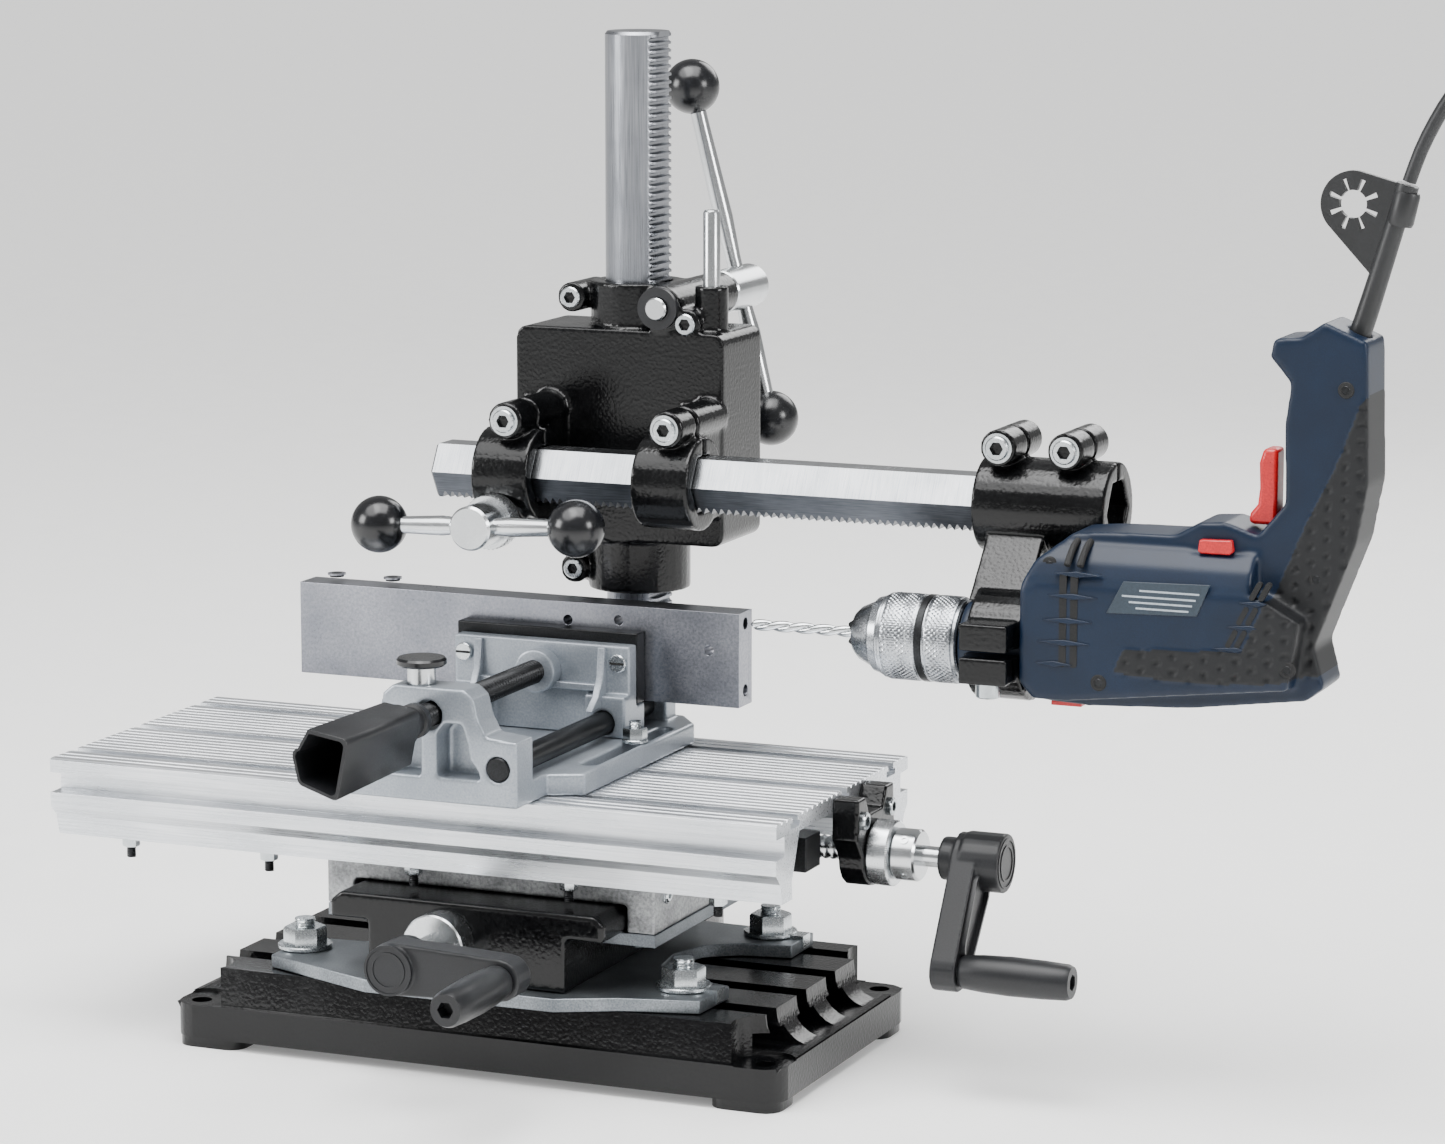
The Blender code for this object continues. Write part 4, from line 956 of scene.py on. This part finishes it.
def smooth_route(points, spacing):
    """Catmull-Rom curve through the points, about spacing apart."""
    points = [np.array(p, float) for p in points]
    ends = [2 * points[0] - points[1], *points, 2 * points[-1] - points[-2]]
    line = []
    for a, b, c, d in zip(ends, ends[1:], ends[2:], ends[3:]):
        t = np.linspace(0, 1, max(1, round(np.linalg.norm(c - b) / spacing)), endpoint=False)[:, None]
        line.append(0.5 * (2 * b + (c - a) * t + (2 * a - 5 * b + 4 * c - d) * t**2
                           + (3 * b - a - 3 * c + d) * t**3))
    return np.vstack([*line, points[-1:]])


def coil_turns():
    """Seven rounds, clockwise and downwards, through eight places two side by side and four high.

    Each place lasts seven eighths of a round, and its last third eases over to the next place.
    """
    out, by = COIL_REACH, COIL_REACH - 8
    places = [(out, 28.4), (by, 28.4), (by, 20.3), (out, 20.3), (out, 12.2), (by, 12.2), (by, 4.1),
              (out, 4.1)]
    rounds = len(places) - 1
    stage = np.linspace(0, len(places), rounds * 36 + 1)[1:]
    step = np.minimum(stage.astype(int), rounds)
    after = np.minimum(step + 1, rounds)
    share = np.clip((stage - step - 0.68) / 0.32, 0, 1)
    share = share * share * (3 - 2 * share)
    table = np.array(places, float)
    radius = table[step, 0] * (1 - share) + table[after, 0] * share
    height = table[step, 1] * (1 - share) + table[after, 1] * share
    a = pi - 2 * pi * rounds * stage / len(places)
    x, y = COIL_CENTRE
    return np.stack([x + radius * np.cos(a), y + radius * np.sin(a), height], axis=1)


def cord():
    """Mains cord: over a bend, down to the floor, round a stored coil and up to its plug.

    It is one piece with no body, its mesh baked where it lies.
    """
    lead = smooth_route(ROUTE, 10)
    turns = coil_turns()
    edge = COIL_CENTRE[0] - COIL_REACH
    plug_height = 13.6
    tail = smooth_route([turns[-1], (edge, 39, 4.7), (edge, 51, 7.3), (edge, 63, 10.7), (edge, 75, 13.1),
                         (edge, 88, plug_height)], 6)[1:]
    path = np.vstack([lead, turns, tail])
    shell = tube(path, CORD_RADIUS, 12)
    rope = piece("mains_cord", None, CABLE, [shell], ("cord", "cord_coil"), crease=60)
    profile = [(0, 120), (11.5, 120), (13, 118), (13, 102), (11.5, 96), (10.5, 86), (9, 82), (8.4, 73.1),
               (4.2, 72.2), (0, 72.2)]
    plug = piece("plug_moulded", "stand", CABLE,
                 [lathe("Y", (edge, 0, plug_height), profile, 40)], ("cord_plug",))
    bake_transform(rope)
    sleeve()


def sleeve():
    """Bend sleeve: its radius falls evenly along its curve, with a collar over the last stretch."""
    bend = smooth_route([(480.5, 15, 433.3), (487, 15, 452.3), (507, 15, 519.8)], 2.5)
    s = np.linspace(0, 1, len(bend))
    radii = np.where(s > 0.94, 6.2, 6.2 - 1.0 * s)
    return piece("cord_sleeve_moulded", "arm", CABLE, [tube(bend, radii, 24)],
                 ("cord_sleeve",), crease=45)


def key_holder():
    """Rubber drop on the cord sleeve: a flat ring between its outline and a hole with eight rays.

    The outline r(t) is a circle of radius swell between left and right, and its two tangents
    swell / cos of the angle past them, cut off by the flat r = reach / cos(t - facing) along the sleeve.
    """
    middle, swell, reach, hole, ray = (477.5, 508.5), 18.0, 20.0, 7.6, 14.2
    t = np.linspace(-pi, pi, 384, endpoint=False)
    left, tip, right, facing = radians(-137), radians(-70), radians(75), radians(-16.4)
    past = np.where(t < tip, np.clip(t - left, 0, 1.4), np.clip(right - t, 0, 1.4))
    outer = swell / np.cos(past)
    across = np.cos(t - facing)
    outer = np.where(across > 0.2, np.minimum(outer, reach / np.clip(across, 0.2, 1)), outer)
    inner = np.where(np.abs((t * 8 / (2 * pi)) % 1.0 - 0.5) < 0.14, ray, hole)
    rings = [(outer, 13.0), (outer, 17.0), (inner, 17.0), (inner, 13.0)]
    points = np.zeros((len(rings), len(t), 3))
    for row, (radius, y) in enumerate(rings):
        points[row, :, 0] = middle[0] + radius * np.cos(t)
        points[row, :, 1] = y
        points[row, :, 2] = middle[1] + radius * np.sin(t)
    wall = [(0, 0), (6.6, 0), (7.2, 0.1), (7.2, 0.9), (6.6, 1), (0, 1)]
    eyelet = bar((503, 15, 498), (507, 15, 516), wall)
    piece("key_holder_rubber", "arm", CABLE, [grid(points, wrap_u=True), eyelet],
          ("key_holder",))


# ---------------------------------------------------------------- studio
def studio():
    """Pale floor that glows a little, four broad lamps that look at the machine, and a weak sky."""
    mesh = bpy.data.meshes.new("floor")
    reach = 30.0
    corners = [(-reach, -reach, 0), (reach, -reach, 0), (reach, reach, 0), (-reach, reach, 0)]
    mesh.from_pydata(corners, [], [(0, 1, 2, 3)])
    paint = finish("painted floor, matte white", "#f4f4f3", "#efefee", (0.6, 0.7), grain=3, depth=0.01)
    mesh.materials.append(paint)
    shader = paint.node_tree.nodes["Principled BSDF"]
    shader.inputs["Emission Color"].default_value = (1, 1, 1, 1)
    shader.inputs["Emission Strength"].default_value = 0.22
    floor = bpy.data.objects.new("floor", mesh)
    bpy.context.scene.collection.objects.link(floor)
    world = bpy.data.worlds.new("sky")
    world.use_nodes = True
    sky = world.node_tree.nodes["Background"]
    sky.inputs["Color"].default_value = (1, 1, 1, 1)
    sky.inputs["Strength"].default_value = 0.42
    bpy.context.scene.world = world
    for name, spot, size, power in (
        ("overhead", (0.1, -0.2, 1.7), 1.2, 34),
        ("left", (-1.7, -1.2, 0.9), 0.8, 30),
        ("right", (1.9, -0.3, 0.9), 0.6, 20),
        ("rear", (0.2, 1.8, 1.3), 1.0, 16),
    ):
        data = bpy.data.lights.new(name, "AREA")
        data.size = size
        data.energy = power
        lamp = bpy.data.objects.new(name, data)
        lamp.location = spot
        aim = np.array([0.0, 0.0, 0.22]) - np.array(spot)
        lamp.rotation_euler = (atan2(hypot(aim[0], aim[1]), -aim[2]), 0.0, atan2(aim[1], aim[0]) - pi / 2)
        bpy.context.scene.collection.objects.link(lamp)


def daylight():
    """A broad even light from above and the left, which keeps the floor pale out to the edge."""
    data = bpy.data.lights.new("daylight", "SUN")
    data.energy = 3.0
    data.angle = radians(50)
    lamp = bpy.data.objects.new("daylight", data)
    lamp.rotation_euler = (radians(24), radians(-14), 0.0)
    bpy.context.scene.collection.objects.link(lamp)


def camera():
    """A long lens from the front and a little above."""
    data = bpy.data.cameras.new("camera")
    data.sensor_width = 36.0
    data.lens = 117.1
    data.clip_end = 200.0
    item = bpy.data.objects.new("camera", data)
    place = np.array([1146.45, -2440.43, 738.92])
    item.location = ((place - ORIGIN) * UNIT).tolist()
    item.rotation_euler = (radians(80.3), 0.0, radians(22.9))
    bpy.context.scene.collection.objects.link(item)
    bpy.context.scene.camera = item


camera()
studio()
daylight()
cord()
stand()
cross_feed()
long_feed()
saddle()
table()
vise()
workpiece()
head()
rack_bar()
holder()
drill()
key_holder()
